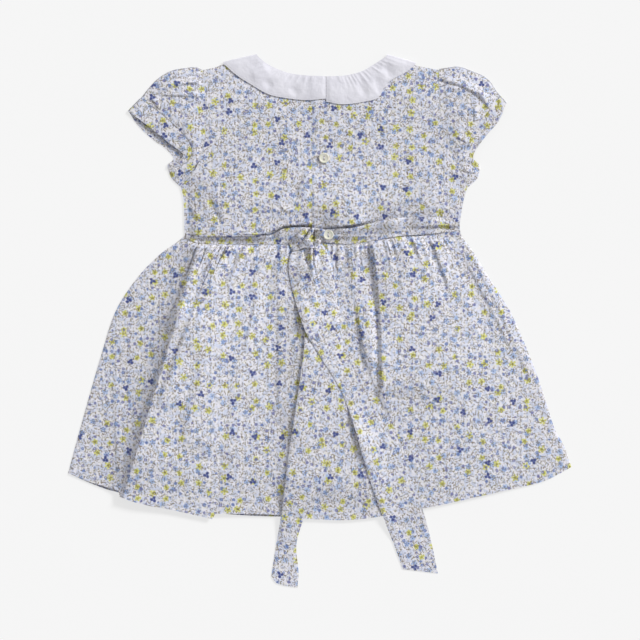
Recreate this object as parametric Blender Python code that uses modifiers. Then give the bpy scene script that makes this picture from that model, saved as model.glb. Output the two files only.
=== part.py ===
"""A toddler's puff-sleeved dress, laid flat on its front with its back side up.

The tables are in millimetres: X runs across the dress, Y from hem to neck, Z up from the
surface it lies on. Left and right are as seen from above. Each cloth is a wall of one
thickness. The front panels lie on the surface and the others are laid on one another.
"""

import math
from collections import namedtuple

import bmesh
import bpy
from mathutils import Vector
from mathutils.bvhtree import BVHTree

# ---------------------------------------------------------------------------- driving sizes

MM = 0.001
WALL = 1.0  # thickness of every cloth
SEAM = 0.3  # clear space at a seam, and between one layer and the next
CURVED_SEAM = 0.9  # clear space at a seam whose two sides are rounded off in unlike steps
LAYER = WALL + SEAM
FLAT_TUBE = 2 * WALL + SEAM  # height of a pressed sleeve at its folded edges

CENTRE_BACK = 6.0  # where the two ends of the collar meet
PLACKET_EDGE = -7.0  # free edge of the right back, which laps over the left back
UNDERLAP_EDGE = 20.0  # hidden edge of the left back
WAIST = 79.0
ARMHOLE_ROWS = 8  # rows of a bodice beside each armhole
BODICE_ROWS = 11  # rows from shoulder to waist
CUFF_PUFF = 1.2
SLEEVE_PUFF = 3.4
BODICE_FULLNESS = 2.0
SKIRT_FULLNESS = 2.2
COLLAR_FULLNESS = 1.5
SHOULDER_EASE = 0.8  # how far the collar stands off the shoulders it turns round

BUTTON_DIAMETER = 10.0
BUTTON_THICKNESS = 2.4
BUTTON_RIM = 1.3
BUTTON_DISH = 0.6
BUTTON_HOLE = 1.5
BUTTON_HOLE_APART = 3.0

KNOT_SIZE = (17.0, 16.5, 7.0)
KNOT_AT = (-8.5, 80.5)

# The places a line runs through, in order.
Spot = namedtuple("Spot", "where x y")

NECK_BACK = [
    Spot("left shoulder", -58.5, 248.2),
    Spot("left bend", -49, 240.5),
    Spot("left back", -32, 233),
    Spot("left of centre", -15, 230),
    Spot("centre back", 6, 229),
    Spot("right of centre", 22, 229.5),
    Spot("right back", 39, 233.5),
    Spot("right bend", 52, 241),
    Spot("right shoulder", 62.8, 248),
]
NECK_FRONT = [
    Spot("left shoulder", -58.5, 248.2),
    Spot("left", -50, 231),
    Spot("left dip", -32, 212),
    Spot("centre front", 4, 202),
    Spot("right dip", 38, 212),
    Spot("right", 55, 231),
    Spot("right shoulder", 62.8, 248),
]
SHOULDER_LEFT = [
    Spot("armhole", -110, 235),
    Spot("dip", -100, 237),
    Spot("collar edge", -90, 240.3),
    Spot("neck", -58.5, 248.2),
]
SHOULDER_RIGHT = [
    Spot("neck", 62.8, 248),
    Spot("collar edge", 89, 239.6),
    Spot("armhole", 112, 235),
]
ARMHOLE_LEFT = [
    Spot("shoulder", -110, 235),
    Spot("upper", -107, 207),
    Spot("middle", -107, 179),
    Spot("lower", -111, 155),
    Spot("turn", -118, 140),
    Spot("underarm", -131, 126),
]
ARMHOLE_RIGHT = [
    Spot("shoulder", 112, 235),
    Spot("upper", 112, 210),
    Spot("middle", 114, 188),
    Spot("lower", 119, 169),
    Spot("turn", 127, 150),
    Spot("underarm", 139, 126),
]
BODICE_SIDE_LEFT = [
    Spot("underarm", -131, 126),
    Spot("rib", -128, 113),
    Spot("waist", -127, WAIST + SEAM / 2),
]
BODICE_SIDE_RIGHT = [
    Spot("underarm", 139, 126),
    Spot("rib", 135, 112),
    Spot("pinch", 131.5, 89),
    Spot("waist", 133, WAIST + SEAM / 2),
]
SKIRT_SIDE_LEFT = [
    Spot("waist", -127, WAIST - SEAM / 2),
    Spot("spring", -151, 61),
    Spot("hip", -182, 25),
    Spot("upper", -199, -12),
    Spot("middle", -212, -53),
    Spot("lower", -227, -111),
    Spot("hem", -236.5, -144),
]
SKIRT_SIDE_RIGHT = [
    Spot("waist", 133, WAIST - SEAM / 2),
    Spot("spring", 145, 63),
    Spot("hip", 170, 23),
    Spot("upper", 195, -25),
    Spot("middle", 212, -75),
    Spot("lower", 222, -105),
    Spot("hem", 236.5, -138),
]
# The hem of the back skirt steps where a pleat laps over its neighbour.
HEM_BACK = [
    [Spot("left corner", -236.5, -144), Spot("left", -213, -153), Spot("pleat", -189, -160)],
    [Spot("pleat edge", -187.5, -166), Spot("pleat middle", -142, -178), Spot("pleat end", -101, -187)],
    [Spot("inner start", -98, -182), Spot("inner end", -37, -183)],
    [
        Spot("centre left", -34, -186),
        Spot("centre", 0, -187.5),
        Spot("centre right", 61, -184),
        Spot("right", 119, -173),
        Spot("far right", 195, -156),
        Spot("right corner", 236.5, -138),
    ],
]
HEM_FRONT = [
    Spot("left corner", -236, -144.5),
    Spot("left", -211, -155.5),
    Spot("under the pleat", -186, -163),
    Spot("centre left", -101, -181),
    Spot("centre", 0, -184),
    Spot("right", 119, -171),
    Spot("right corner", 236, -137.5),
]
# A sleeve's folded edges run from the armhole to the cuff seam, through these places.
SLEEVE_CAP_LEFT = [Spot("gather", -129, 236), Spot("crown", -154, 224.5)]
SLEEVE_CAP_RIGHT = [Spot("gather", 132, 237), Spot("crown", 157, 226)]
SLEEVE_UNDER_LEFT = [Spot("bulge", -139, 134)]
SLEEVE_UNDER_RIGHT = [Spot("bulge", 147.5, 134)]
# A cuff seam and a cuff rim run from the shoulder fold of the sleeve to its underarm fold.
CUFF_SEAM_LEFT = [
    Spot("shoulder fold", -168, 208),
    Spot("upper", -150, 195),
    Spot("middle", -131, 178),
    Spot("lower", -121, 164),
    Spot("turn", -121, 154),
    Spot("hidden", -128, 146),
    Spot("underarm fold", -142, 142),
]
CUFF_SEAM_LEFT_UNDER = [
    Spot("shoulder fold", -168, 208),
    Spot("upper", -156, 190),
    Spot("middle", -140, 175),
    Spot("lower", -129, 164),
    Spot("turn", -126, 154),
    Spot("hidden", -131, 146),
    Spot("underarm fold", -142, 142),
]
CUFF_RIM_LEFT = [
    Spot("shoulder fold", -179.5, 196),
    Spot("upper", -162, 183),
    Spot("middle", -141, 166),
    Spot("lower", -129.5, 157),
    Spot("turn", -130, 152),
    Spot("underarm fold", -141.8, 147),
]
CUFF_RIM_LEFT_UNDER = [
    Spot("shoulder fold", -179.5, 196),
    Spot("upper", -171, 183),
    Spot("middle", -156, 169),
    Spot("lower", -146, 162),
    Spot("turn", -137.5, 152.5),
    Spot("underarm fold", -141.8, 147),
]
CUFF_SEAM_RIGHT = [
    Spot("shoulder fold", 168, 211),
    Spot("upper", 155, 193),
    Spot("middle", 145, 178),
    Spot("lower", 138, 164),
    Spot("turn", 137, 154),
    Spot("hidden", 141.5, 146),
    Spot("underarm fold", 149.2, 141),
]
CUFF_RIM_RIGHT = [
    Spot("shoulder fold", 175, 203),
    Spot("upper", 168, 187),
    Spot("middle", 157, 174),
    Spot("lower", 148, 162),
    Spot("turn", 144, 153),
    Spot("underarm fold", 149, 146.5),
]
COLLAR_SHOULDER_LEFT = Spot("left shoulder", -90.5, 240.6)
COLLAR_SHOULDER_RIGHT = Spot("right shoulder", 89.4, 239.9)
COLLAR_EDGE_LEFT = [
    Spot("centre back", CENTRE_BACK - SEAM / 2, 208),
    Spot("dip", -11, 206),
    Spot("back", -32, 208),
    Spot("turn", -52, 214.5),
    Spot("side", -74, 228),
    COLLAR_SHOULDER_LEFT,
]
COLLAR_EDGE_RIGHT = [
    COLLAR_SHOULDER_RIGHT,
    Spot("side", 79, 232),
    Spot("notch", 64, 223),
    Spot("back", 52, 207),
    Spot("dip", 26, 202.5),
    Spot("centre back", CENTRE_BACK + SEAM / 2, 204.5),
]
COLLAR_EDGE_FRONT = [
    COLLAR_SHOULDER_LEFT,
    Spot("left side", -80, 220),
    Spot("left turn", -58, 194),
    Spot("centre front", 4, 177),
    Spot("right turn", 64, 194),
    Spot("right side", 82, 220),
    COLLAR_SHOULDER_RIGHT,
]
SASH_LEFT_TOP = [
    Spot("side seam", -126, 83),
    Spot("back", -113, 79.5),
    Spot("middle", -75, 79.5),
    Spot("rise", -40, 82),
    Spot("knot", -17.3, 88),
]
SASH_LEFT_FOOT = [
    Spot("side seam", -126, 77),
    Spot("back", -113, 70.5),
    Spot("middle", -60, 70),
    Spot("knot", -17.3, 74),
]
SASH_RIGHT_TOP = [
    Spot("knot", 0.3, 87),
    Spot("fold", 31, 89),
    Spot("spread", 66, 95.5),
    Spot("side seam", 131, 96),
]
SASH_RIGHT_FOOT = [
    Spot("knot", 0.3, 74),
    Spot("fold", 24, 71.5),
    Spot("spread", 75, 79),
    Spot("side seam", 131, 84),
]
TAIL_RIGHT_WEST = [
    Spot("knot", -16, 71.9),
    Spot("fan", -29, 54),
    Spot("upper", -23, 19),
    Spot("turn", -14, -9),
    Spot("middle", 24, -75),
    Spot("lower", 47, -150),
    Spot("hem", 60, -186),
    Spot("below hem", 70, -212),
    Spot("corner", 78, -234),
]
TAIL_RIGHT_EAST = [
    Spot("knot", -1, 71.9),
    Spot("fan", 10, 54),
    Spot("upper", 16, 19),
    Spot("turn", 29, -11),
    Spot("middle", 57, -66),
    Spot("lower", 85, -146),
    Spot("hem", 97, -179),
    Spot("below hem", 104, -205),
    Spot("point", 111, -238),
]
TAIL_RIGHT_END = [
    Spot("corner", 78, -234),
    Spot("point", 111, -238),
]
TAIL_LEFT_WEST = [
    Spot("knot", -15, 71.9),
    Spot("upper", -20, 30),
    Spot("turn", -17, -14),
    Spot("middle", -21, -62),
    Spot("lower", -32, -132),
    Spot("hem", -36, -181),
    Spot("below hem", -41, -211),
    Spot("corner", -45.5, -241),
]
TAIL_LEFT_EAST = [
    Spot("knot", -2, 71.9),
    Spot("upper", 12, 30),
    Spot("turn", 17, -14),
    Spot("middle", 17, -62),
    Spot("lower", 5, -132),
    Spot("hem", -15, -184),
    Spot("twist", -22, -206),
    Spot("point", -21, -251.5),
]
TAIL_LEFT_END = [
    Spot("corner", -45.5, -241),
    Spot("rounding", -39, -248),
    Spot("point", -21, -251.5),
]

# A fold rises (or, below zero, sinks) along a bent line. Its two widths are how far it takes
# to die away on its -X and its +X side.
Fold = namedtuple("Fold", "name start bend end rise west east")

SKIRT_FOLDS = [
    Fold("left pleat", (-104, 74), (-141, 10), (-188, -185), 2.0, 5, 26),
    Fold("left pleat valley", (-118, 66), (-152, 12), (-199, -185), -1.6, 12, 6),
    Fold("second pleat", (-96, 70), (-118, 10), (-165, -75), 1.0, 6, 8),
    Fold("under the tails", (-2, 66), (8, -60), (-14, -200), 1.2, 20, 30),
    Fold("centre valley", (58, 74), (56, -20), (62, -66), -2.0, 7, 12),
    Fold("centre pleat", (42, 30), (44, -20), (52, -64), 1.8, 8, 8),
    Fold("right valley", (106, 76), (112, 56), (122, 30), -1.3, 6, 9),
    Fold("side roll", (140, 52), (170, 12), (196, -50), -1.3, 12, 9),
    Fold("right swell", (120, 30), (150, -60), (172, -190), 1.4, 40, 34),
    Fold("left swell", (-60, 50), (-74, -60), (-80, -210), 1.0, 34, 30),
]
BODICE_FOLDS = [
    Fold("left waist", (-105, 114), (-98, 100), (-90, 84), -1.5, 7, 9),
    Fold("right waist", (126, 108), (112, 100), (100, 96), -1.2, 8, 8),
    Fold("shoulder blade", (-30, 136), (-16, 126), (-12, 104), -1.2, 12, 12),
]
SLEEVE_FOLDS = {
    "left": [
        Fold("cap gather", (-104, 226), (-134, 224), (-154, 212), -1.5, 5, 7),
        Fold("underarm crease", (-113, 144), (-120, 134), (-136, 130), -1.0, 5, 5),
    ],
    "right": [
        Fold("cap gather", (117, 225), (138, 221), (158, 204), -1.8, 6, 6),
        Fold("elbow crease", (147, 208), (149, 200), (148, 190), -1.0, 5, 6),
    ],
}

# Colours are linear.
Finish = namedtuple("Finish", "colour roughness")
PRINTED_COTTON = Finish((0.53, 0.54, 0.62), 0.85)
WHITE_COTTON = Finish((0.70, 0.69, 0.74), 0.85)
IVORY_PLASTIC = Finish((0.68, 0.68, 0.56), 0.35)


# ------------------------------------------------------------------------- lines and patches


def rounded(spots, steps=8):
    """Points along a smooth line through every spot."""
    points = [Vector((s.x, s.y)) for s in spots]
    if len(points) < 3:
        return points
    ends = [2 * points[0] - points[1]] + points + [2 * points[-1] - points[-2]]
    line = [points[0]]
    for before, a, b, after in zip(ends, ends[1:], ends[2:], ends[3:]):
        for step in range(1, steps + 1):
            t = step / steps
            line.append(
                0.5
                * (
                    2 * a
                    + (b - before) * t
                    + (2 * before - 5 * a + 4 * b - after) * t**2
                    + (3 * a - before - 3 * b + after) * t**3
                )
            )
    return line


class Edge:
    """A line made of smooth runs, walked by a share from 0 to 1.

    The runs meet at the given joints, or where their lengths say.
    """

    def __init__(self, *runs, joints=None, backwards=False, aside=0.0):
        lines = [rounded(run) for run in runs]
        self.points = [point for line in lines for point in line]
        marks = [0.0]
        for a, b in zip(self.points, self.points[1:]):
            marks.append(marks[-1] + (b - a).length)
        self.shares = [mark / marks[-1] for mark in marks]
        if aside:
            self.points = [self._moved(i, aside) for i in range(len(self.points))]
        ends, index = [], 0
        for line in lines[:-1]:
            index += len(line)
            ends += [index - 1, index]
        if joints:
            old = [0.0] + [self.shares[end] for end in ends[::2]] + [1.0]
            self.shares = [rescaled(share, old, [0.0, *joints, 1.0]) for share in self.shares]
        self.corners = sorted({round(self.shares[end], 4) for end in ends})
        if backwards:
            self.points.reverse()
            self.shares = [1 - share for share in reversed(self.shares)]
            self.corners = sorted(1 - share for share in self.corners)

    def _moved(self, index, aside):
        """A point moved square to the line, to the left of someone walking along it."""
        ahead = self.points[min(index + 1, len(self.points) - 1)]
        behind = self.points[max(index - 1, 0)]
        run = (ahead - behind).normalized()
        return self.points[index] + aside * Vector((-run.y, run.x))

    def at(self, share):
        for i, (low, high) in enumerate(zip(self.shares, self.shares[1:])):
            if share <= high:
                part = 0.0 if high == low else (share - low) / (high - low)
                return self.points[i].lerp(self.points[i + 1], max(part, 0.0))
        return self.points[-1]


def rescaled(value, old, new):
    """A value moved from its place among the old marks to the same place among the new."""
    for old_low, old_high, new_low, new_high in zip(old, old[1:], new, new[1:]):
        if value <= old_high:
            return new_low + (value - old_low) / (old_high - old_low) * (new_high - new_low)
    return new[-1]


class Straight:
    """The straight line between two points."""

    def __init__(self, start, end):
        self.start, self.end, self.corners = start, end, []

    def at(self, share):
        return self.start.lerp(self.end, share)


class Patch:
    """The flat surface between four edges. u runs along top and foot, v along the two sides.

    Straight lines join top to foot, and each side bends the ones near it.
    """

    def __init__(self, top, foot, start=None, end=None):
        self.top, self.foot = top, foot
        self.start = start or Straight(top.at(0), foot.at(0))
        self.end = end or Straight(top.at(1), foot.at(1))

    def at(self, u, v):
        straight = self.top.at(u).lerp(self.foot.at(u), v)
        start_bend = self.start.at(v) - self.top.at(0).lerp(self.foot.at(0), v)
        end_bend = self.end.at(v) - self.top.at(1).lerp(self.foot.at(1), v)
        return straight + start_bend * (1 - u) ** 2 + end_bend * u**2


def steps(count, corners=()):
    """Even shares from 0 to 1, with the nearest ones moved onto the corners."""
    shares = [i / count for i in range(count + 1)]
    free = set(range(1, count))
    for corner in corners:
        nearest = min(free, key=lambda i: abs(shares[i] - corner))
        shares[nearest] = corner
        free.discard(nearest)
    return sorted(shares)


# ------------------------------------------------------------------------------ folds and lift


def soft_step(low, high, value):
    t = min(max((value - low) / (high - low), 0.0), 1.0)
    return t * t * (3 - 2 * t)


def fold_height(fold, x, y):
    """What one fold adds at a place. It dies away at its two ends as well as its two sides."""
    samples = 24
    start, bend, end = (Vector(p) for p in (fold.start, fold.bend, fold.end))
    here = Vector((x, y))
    nearest = None
    for i in range(samples + 1):
        t = i / samples
        spot = start.lerp(bend, t).lerp(bend.lerp(end, t), t)
        distance = (here - spot).length
        if nearest is None or distance < nearest[0]:
            nearest = (distance, t, spot)
    distance, t, spot = nearest
    width = fold.west if x < spot.x else fold.east
    fading = soft_step(0, 0.2, t) * soft_step(0, 0.2, 1 - t)
    return fold.rise * fading * math.exp(-((distance / width) ** 2))


def folds_height(folds, x, y):
    return sum(fold_height(fold, x, y) for fold in folds)


def hump(u, v, edge=0.18):
    """1 over the middle of a patch, and 0 along all four of its edges."""
    return math.prod(soft_step(0, edge, share) for share in (u, 1 - u, v, 1 - v))


def on_the_surface(u, v, x, y):
    return 0.0


def over_the_collar(u, v, x, y):
    """The front bodice lies on the front of the collar, and comes down to the surface past it."""
    reach_x, reach_y, neck = 94.0, 76.0, 250.0
    away = math.hypot(x / reach_x, (neck - y) / reach_y)
    return LAYER * (1 - soft_step(1.15, 1.5, away))


def bodice_lift(u, v, x, y):
    creases = folds_height(BODICE_FOLDS, x, y) * hump(u, v, 0.06)
    return max(LAYER, LAYER + BODICE_FULLNESS * hump(u, v) + creases)


def skirt_lift(u, v, x, y):
    """Full over the middle and at the hem, and down at the waist and the side seams."""
    sides = soft_step(0, 0.10, u) * soft_step(0, 0.10, 1 - u)
    full = SKIRT_FULLNESS * sides * soft_step(0, 0.3, v)
    return full + folds_height(SKIRT_FOLDS, x, y) * soft_step(0, 0.08, v) * soft_step(0, 0.05, min(u, 1 - u))


# ---------------------------------------------------------------------------- making objects


def new_object(name, mesh_source, finish):
    """An object in the dress's collection, with its own material."""
    mesh = bpy.data.meshes.new(name)
    mesh_source.to_mesh(mesh)
    mesh_source.free()
    piece = bpy.data.objects.new(name, mesh)
    dress.objects.link(piece)
    material = bpy.data.materials.new(name)
    material.use_nodes = True
    shader = material.node_tree.nodes["Principled BSDF"]
    shader.inputs["Base Color"].default_value = (*finish.colour, 1)
    shader.inputs["Roughness"].default_value = finish.roughness
    shader.inputs["Metallic"].default_value = 0.0
    mesh.materials.append(material)
    mesh.shade_smooth()
    mesh.set_sharp_from_angle(angle=math.radians(40))
    return piece


def shaped_grid(columns, rows, place):
    """A grid of cells whose vertex in column i and row j lies at place(i, j), in millimetres."""
    bm = bmesh.new()
    bmesh.ops.create_grid(bm, x_segments=columns, y_segments=rows, size=0.5)
    for vertex in bm.verts:
        i = round((vertex.co.x + 0.5) * columns)
        j = round((0.5 - vertex.co.y) * rows)
        vertex.co = Vector(place(i, j)) * MM
    bmesh.ops.triangulate(bm, faces=bm.faces, quad_method="FIXED")
    bm.normal_update()
    return bm


def highest(pieces, x, y, reach=1.2):
    """The least height that clears every piece at a place and close round it."""
    top = 0.0
    for dx, dy in ((0, 0), (reach, 0), (-reach, 0), (0, reach), (0, -reach)):
        above = Vector((x + dx, y + dy, 100)) * MM
        for tree in pieces:
            hit = tree.ray_cast(above, Vector((0, 0, -1)))[0]
            if hit:
                top = max(top, hit.z / MM + SEAM)
    return top


def as_laid(*pieces):
    """The search trees of finished pieces, for what is laid on them."""
    graph = bpy.context.evaluated_depsgraph_get()
    return [BVHTree.FromObject(piece, graph) for piece in pieces]


def settle(floor, spots, under, passes=(0.5, 0.5, 0.5, 1.0), samples=9):
    """Heights at which a grid of triangles lies on what is under it, and nowhere below the floor.

    Every point starts above all that its cells touch, and sinks until a triangle would touch.
    Each cell is split along the diagonal from its second row to its second column.
    """
    around = {(i, j): [] for i in range(len(spots)) for j in range(len(spots[0]))}
    shares = [k / (samples - 1) for k in range(samples)]
    for i in range(len(spots) - 1):
        for j in range(len(spots[0]) - 1):
            for a in shares:
                for b in shares:
                    weights = {(i + 1, j): a, (i, j + 1): b, (i, j): 1 - a - b}
                    if a + b > 1:
                        weights = {(i, j + 1): 1 - a, (i + 1, j): 1 - b, (i + 1, j + 1): a + b - 1}
                    x, y = sum((w * spots[c][r] for (c, r), w in weights.items()), Vector((0, 0)))
                    need = highest(under, x, y)
                    for corner, weight in weights.items():
                        if weight > 0:
                            around[corner].append((weight, weights, need))
    heights = {at: max(floor[at[0]][at[1]], *(need for _, _, need in found)) for at, found in around.items()}
    for part in passes:
        for (i, j), found in around.items():
            room = heights[i, j] - floor[i][j]
            for weight, weights, need in found:
                room = min(room, (sum(w * heights[at] for at, w in weights.items()) - need) / weight)
            heights[i, j] -= part * max(room, 0.0)
    return [[heights[i, j] for j in range(len(spots[0]))] for i in range(len(spots))]


def face_up(bm):
    """Turns every face so that the highest one faces up."""
    bm.normal_update()
    top = max(bm.faces, key=lambda face: face.calc_center_median().z)
    if top.normal.z < 0:
        bmesh.ops.reverse_faces(bm, faces=bm.faces)


def laid_cloth(name, finish, patch, across, down, lift=on_the_surface, on=()):
    """A cloth whose underside is lift above the surface, and clear of what it lies on."""
    columns = steps(across, patch.top.corners + patch.foot.corners)
    rows = steps(down, patch.start.corners)
    spots = [[patch.at(u, v) for v in rows] for u in columns]
    heights = [
        [lift(u, v, *spots[i][j]) for j, v in enumerate(rows)] for i, u in enumerate(columns)
    ]
    if on:
        heights = settle(heights, spots, as_laid(*on))
    bm = shaped_grid(across, down, lambda i, j: (*spots[i][j], heights[i][j]))
    upright = {vertex.index: max(vertex.normal.z, 0.5) for vertex in bm.verts}
    slopes = [upright[vertex.index] for vertex in bm.verts]
    raised = bmesh.ops.extrude_face_region(bm, geom=bm.faces[:], use_keep_orig=True)
    above = [part for part in raised["geom"] if isinstance(part, bmesh.types.BMVert)]
    for vertex, slope in zip(above, slopes):
        vertex.co.z += WALL / slope * MM
    bmesh.ops.recalc_face_normals(bm, faces=bm.faces)
    return new_object(name, bm, finish)


def pressed_tube(name, finish, upper, lower, across, along, puff, folds=()):
    """A tube of cloth pressed flat: an upper and a lower patch, joined down both sides."""
    around = 2 * across + 2

    def place(i, j):
        v = j / along
        if across < i < around:
            return (*lower.at((around - 1 - i) / across, v), 0.0)
        u = i % around / across
        spot = upper.at(u, v)
        rise = puff * math.sin(math.pi * u) ** 0.7 * (0.2 + 0.8 * math.sin(math.pi * v))
        rise += folds_height(folds, *spot) * hump(u, v, 0.1)
        return (*spot, FLAT_TUBE + max(rise, 0.0))

    bm = shaped_grid(around, along, place)
    bmesh.ops.remove_doubles(bm, verts=bm.verts, dist=0.01 * MM)
    face_up(bm)
    piece = new_object(name, bm, finish)
    wall = piece.modifiers.new("wall", "SOLIDIFY")
    wall.thickness = WALL * MM
    wall.offset = -1
    wall.use_even_offset = True
    return piece


def button(name, finish, x, y, on):
    """A two-hole button: a rim round a shallow dish, turned from its profile."""
    radius = BUTTON_DIAMETER / 2
    profile = [
        (0.0, BUTTON_THICKNESS - BUTTON_DISH),
        (radius - 2 * BUTTON_RIM, BUTTON_THICKNESS - BUTTON_DISH),
        (radius - BUTTON_RIM, BUTTON_THICKNESS),
        (radius - BUTTON_RIM / 3, BUTTON_THICKNESS * 0.85),
        (radius, BUTTON_THICKNESS * 0.5),
        (radius - BUTTON_RIM / 2, 0.0),
        (0.0, 0.0),
    ]
    reach = [k * radius / 4 for k in range(-4, 5)]
    under = as_laid(*on)
    base = max(highest(under, x + dx, y + dy) for dx in reach for dy in reach)
    bm = bmesh.new()
    ring = [bm.verts.new(Vector((r, 0, z)) * MM) for r, z in profile]
    for a, b in zip(ring, ring[1:]):
        bm.edges.new((a, b))
    bmesh.ops.spin(
        bm, geom=bm.verts[:] + bm.edges[:], axis=(0, 0, 1), cent=(0, 0, 0), angle=math.tau, steps=20
    )
    bmesh.ops.remove_doubles(bm, verts=bm.verts, dist=0.01 * MM)
    bmesh.ops.recalc_face_normals(bm, faces=bm.faces)
    piece = new_object(name, bm, finish)
    piece.location = Vector((x, y, base)) * MM
    for side in (-1, 1):
        drill = new_cutter(f"{name}_drill_{side + 2}", BUTTON_HOLE / 2, 2 * BUTTON_THICKNESS)
        drill.location = Vector((x, y + side * BUTTON_HOLE_APART / 2, base + BUTTON_THICKNESS / 2)) * MM
        hole = piece.modifiers.new("hole", "BOOLEAN")
        hole.object = drill
        hole.operation = "DIFFERENCE"
    return piece


def new_cutter(name, radius, depth):
    bm = bmesh.new()
    bmesh.ops.create_cone(
        bm, cap_ends=True, segments=8, radius1=radius * MM, radius2=radius * MM, depth=depth * MM
    )
    mesh = bpy.data.meshes.new(name)
    bm.to_mesh(mesh)
    bm.free()
    drill = bpy.data.objects.new(name, mesh)
    drill.hide_render = True
    drill.display_type = "WIRE"
    cutters.objects.link(drill)
    return drill


# ------------------------------------------------------------------------------- the pieces


def bodice_sides():
    """Each armhole with the side seam under it, in the same rows on both sides."""
    underarm = [ARMHOLE_ROWS / BODICE_ROWS]
    return (
        Edge(ARMHOLE_LEFT, BODICE_SIDE_LEFT, joints=underarm),
        Edge(ARMHOLE_RIGHT, BODICE_SIDE_RIGHT, joints=underarm),
    )


def make_fronts():
    """The two front panels, which the whole dress lies on."""
    left, right = bodice_sides()
    neck = Edge(SHOULDER_LEFT, NECK_FRONT, SHOULDER_RIGHT)
    bodice = Patch(neck, Straight(left.at(1), right.at(1)), left, right)
    side_left, side_right = Edge(SKIRT_SIDE_LEFT), Edge(SKIRT_SIDE_RIGHT)
    waist = Straight(side_left.at(0), side_right.at(0))
    skirt = Patch(waist, Edge(HEM_FRONT), side_left, side_right)
    return {
        "bodice": laid_cloth("bodice_front", PRINTED_COTTON, bodice, 16, BODICE_ROWS, over_the_collar),
        "skirt": laid_cloth("skirt_front", PRINTED_COTTON, skirt, 14, 8),
    }


def make_backs(fronts):
    """The two back bodices, right lapped over left at the buttons, and the gathered back skirt."""
    neck_left = [s for s in NECK_BACK if s.x < UNDERLAP_EDGE] + [Spot("underlap", UNDERLAP_EDGE, 229.5)]
    neck_right = [Spot("placket", PLACKET_EDGE, 229.6)] + [s for s in NECK_BACK if s.x > PLACKET_EDGE]
    left_side, right_side = bodice_sides()
    waist = left_side.at(1).y
    left = Patch(
        Edge(SHOULDER_LEFT, neck_left),
        Straight(left_side.at(1), Vector((UNDERLAP_EDGE, waist))),
        start=left_side,
    )
    right = Patch(
        Edge(neck_right, SHOULDER_RIGHT),
        Straight(Vector((PLACKET_EDGE, waist)), right_side.at(1)),
        end=right_side,
    )
    back_left = laid_cloth(
        "bodice_back_left", PRINTED_COTTON, left, 11, BODICE_ROWS, bodice_lift, on=[fronts["bodice"]]
    )
    under = [fronts["bodice"], back_left]
    back_right = laid_cloth(
        "bodice_back_right", PRINTED_COTTON, right, 11, BODICE_ROWS, bodice_lift, on=under
    )
    side_left, side_right = Edge(SKIRT_SIDE_LEFT), Edge(SKIRT_SIDE_RIGHT)
    top = Straight(side_left.at(0), side_right.at(0))
    skirt = Patch(top, Edge(*HEM_BACK), side_left, side_right)
    skirt_back = laid_cloth(
        "skirt_back", PRINTED_COTTON, skirt, 40, 14, skirt_lift, on=[fronts["skirt"]]
    )
    return {"left": back_left, "right": back_right, "skirt": skirt_back}


def make_sleeve(side, armhole, cap, underarm, seam_above, seam_below, rim_above, rim_below):
    """A puff sleeve and its band, both pressed flat. Below is the side that faces the surface."""
    outward = 1 if side == "left" else -1
    hole = Edge(armhole, aside=-outward * CURVED_SEAM)
    cap = [Spot("armhole", *hole.at(0))] + cap + seam_above[:1]
    underarm = [Spot("armhole", *hole.at(1))] + underarm + seam_above[-1:]
    sleeve_sides = {"start": Edge(cap), "end": Edge(underarm)}
    above = Patch(hole, Edge(seam_above), **sleeve_sides)
    below = Patch(hole, Edge(seam_below), **sleeve_sides)
    pressed_tube(
        f"sleeve_{side}", PRINTED_COTTON, above, below, ARMHOLE_ROWS, 7, SLEEVE_PUFF, SLEEVE_FOLDS[side]
    )
    band_above = Patch(Edge(seam_above, aside=-outward * CURVED_SEAM), Edge(rim_above))
    band_below = Patch(Edge(seam_below, aside=-outward * CURVED_SEAM), Edge(rim_below))
    pressed_tube(f"cuff_{side}", PRINTED_COTTON, band_above, band_below, ARMHOLE_ROWS, 2, CUFF_PUFF)


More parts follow.
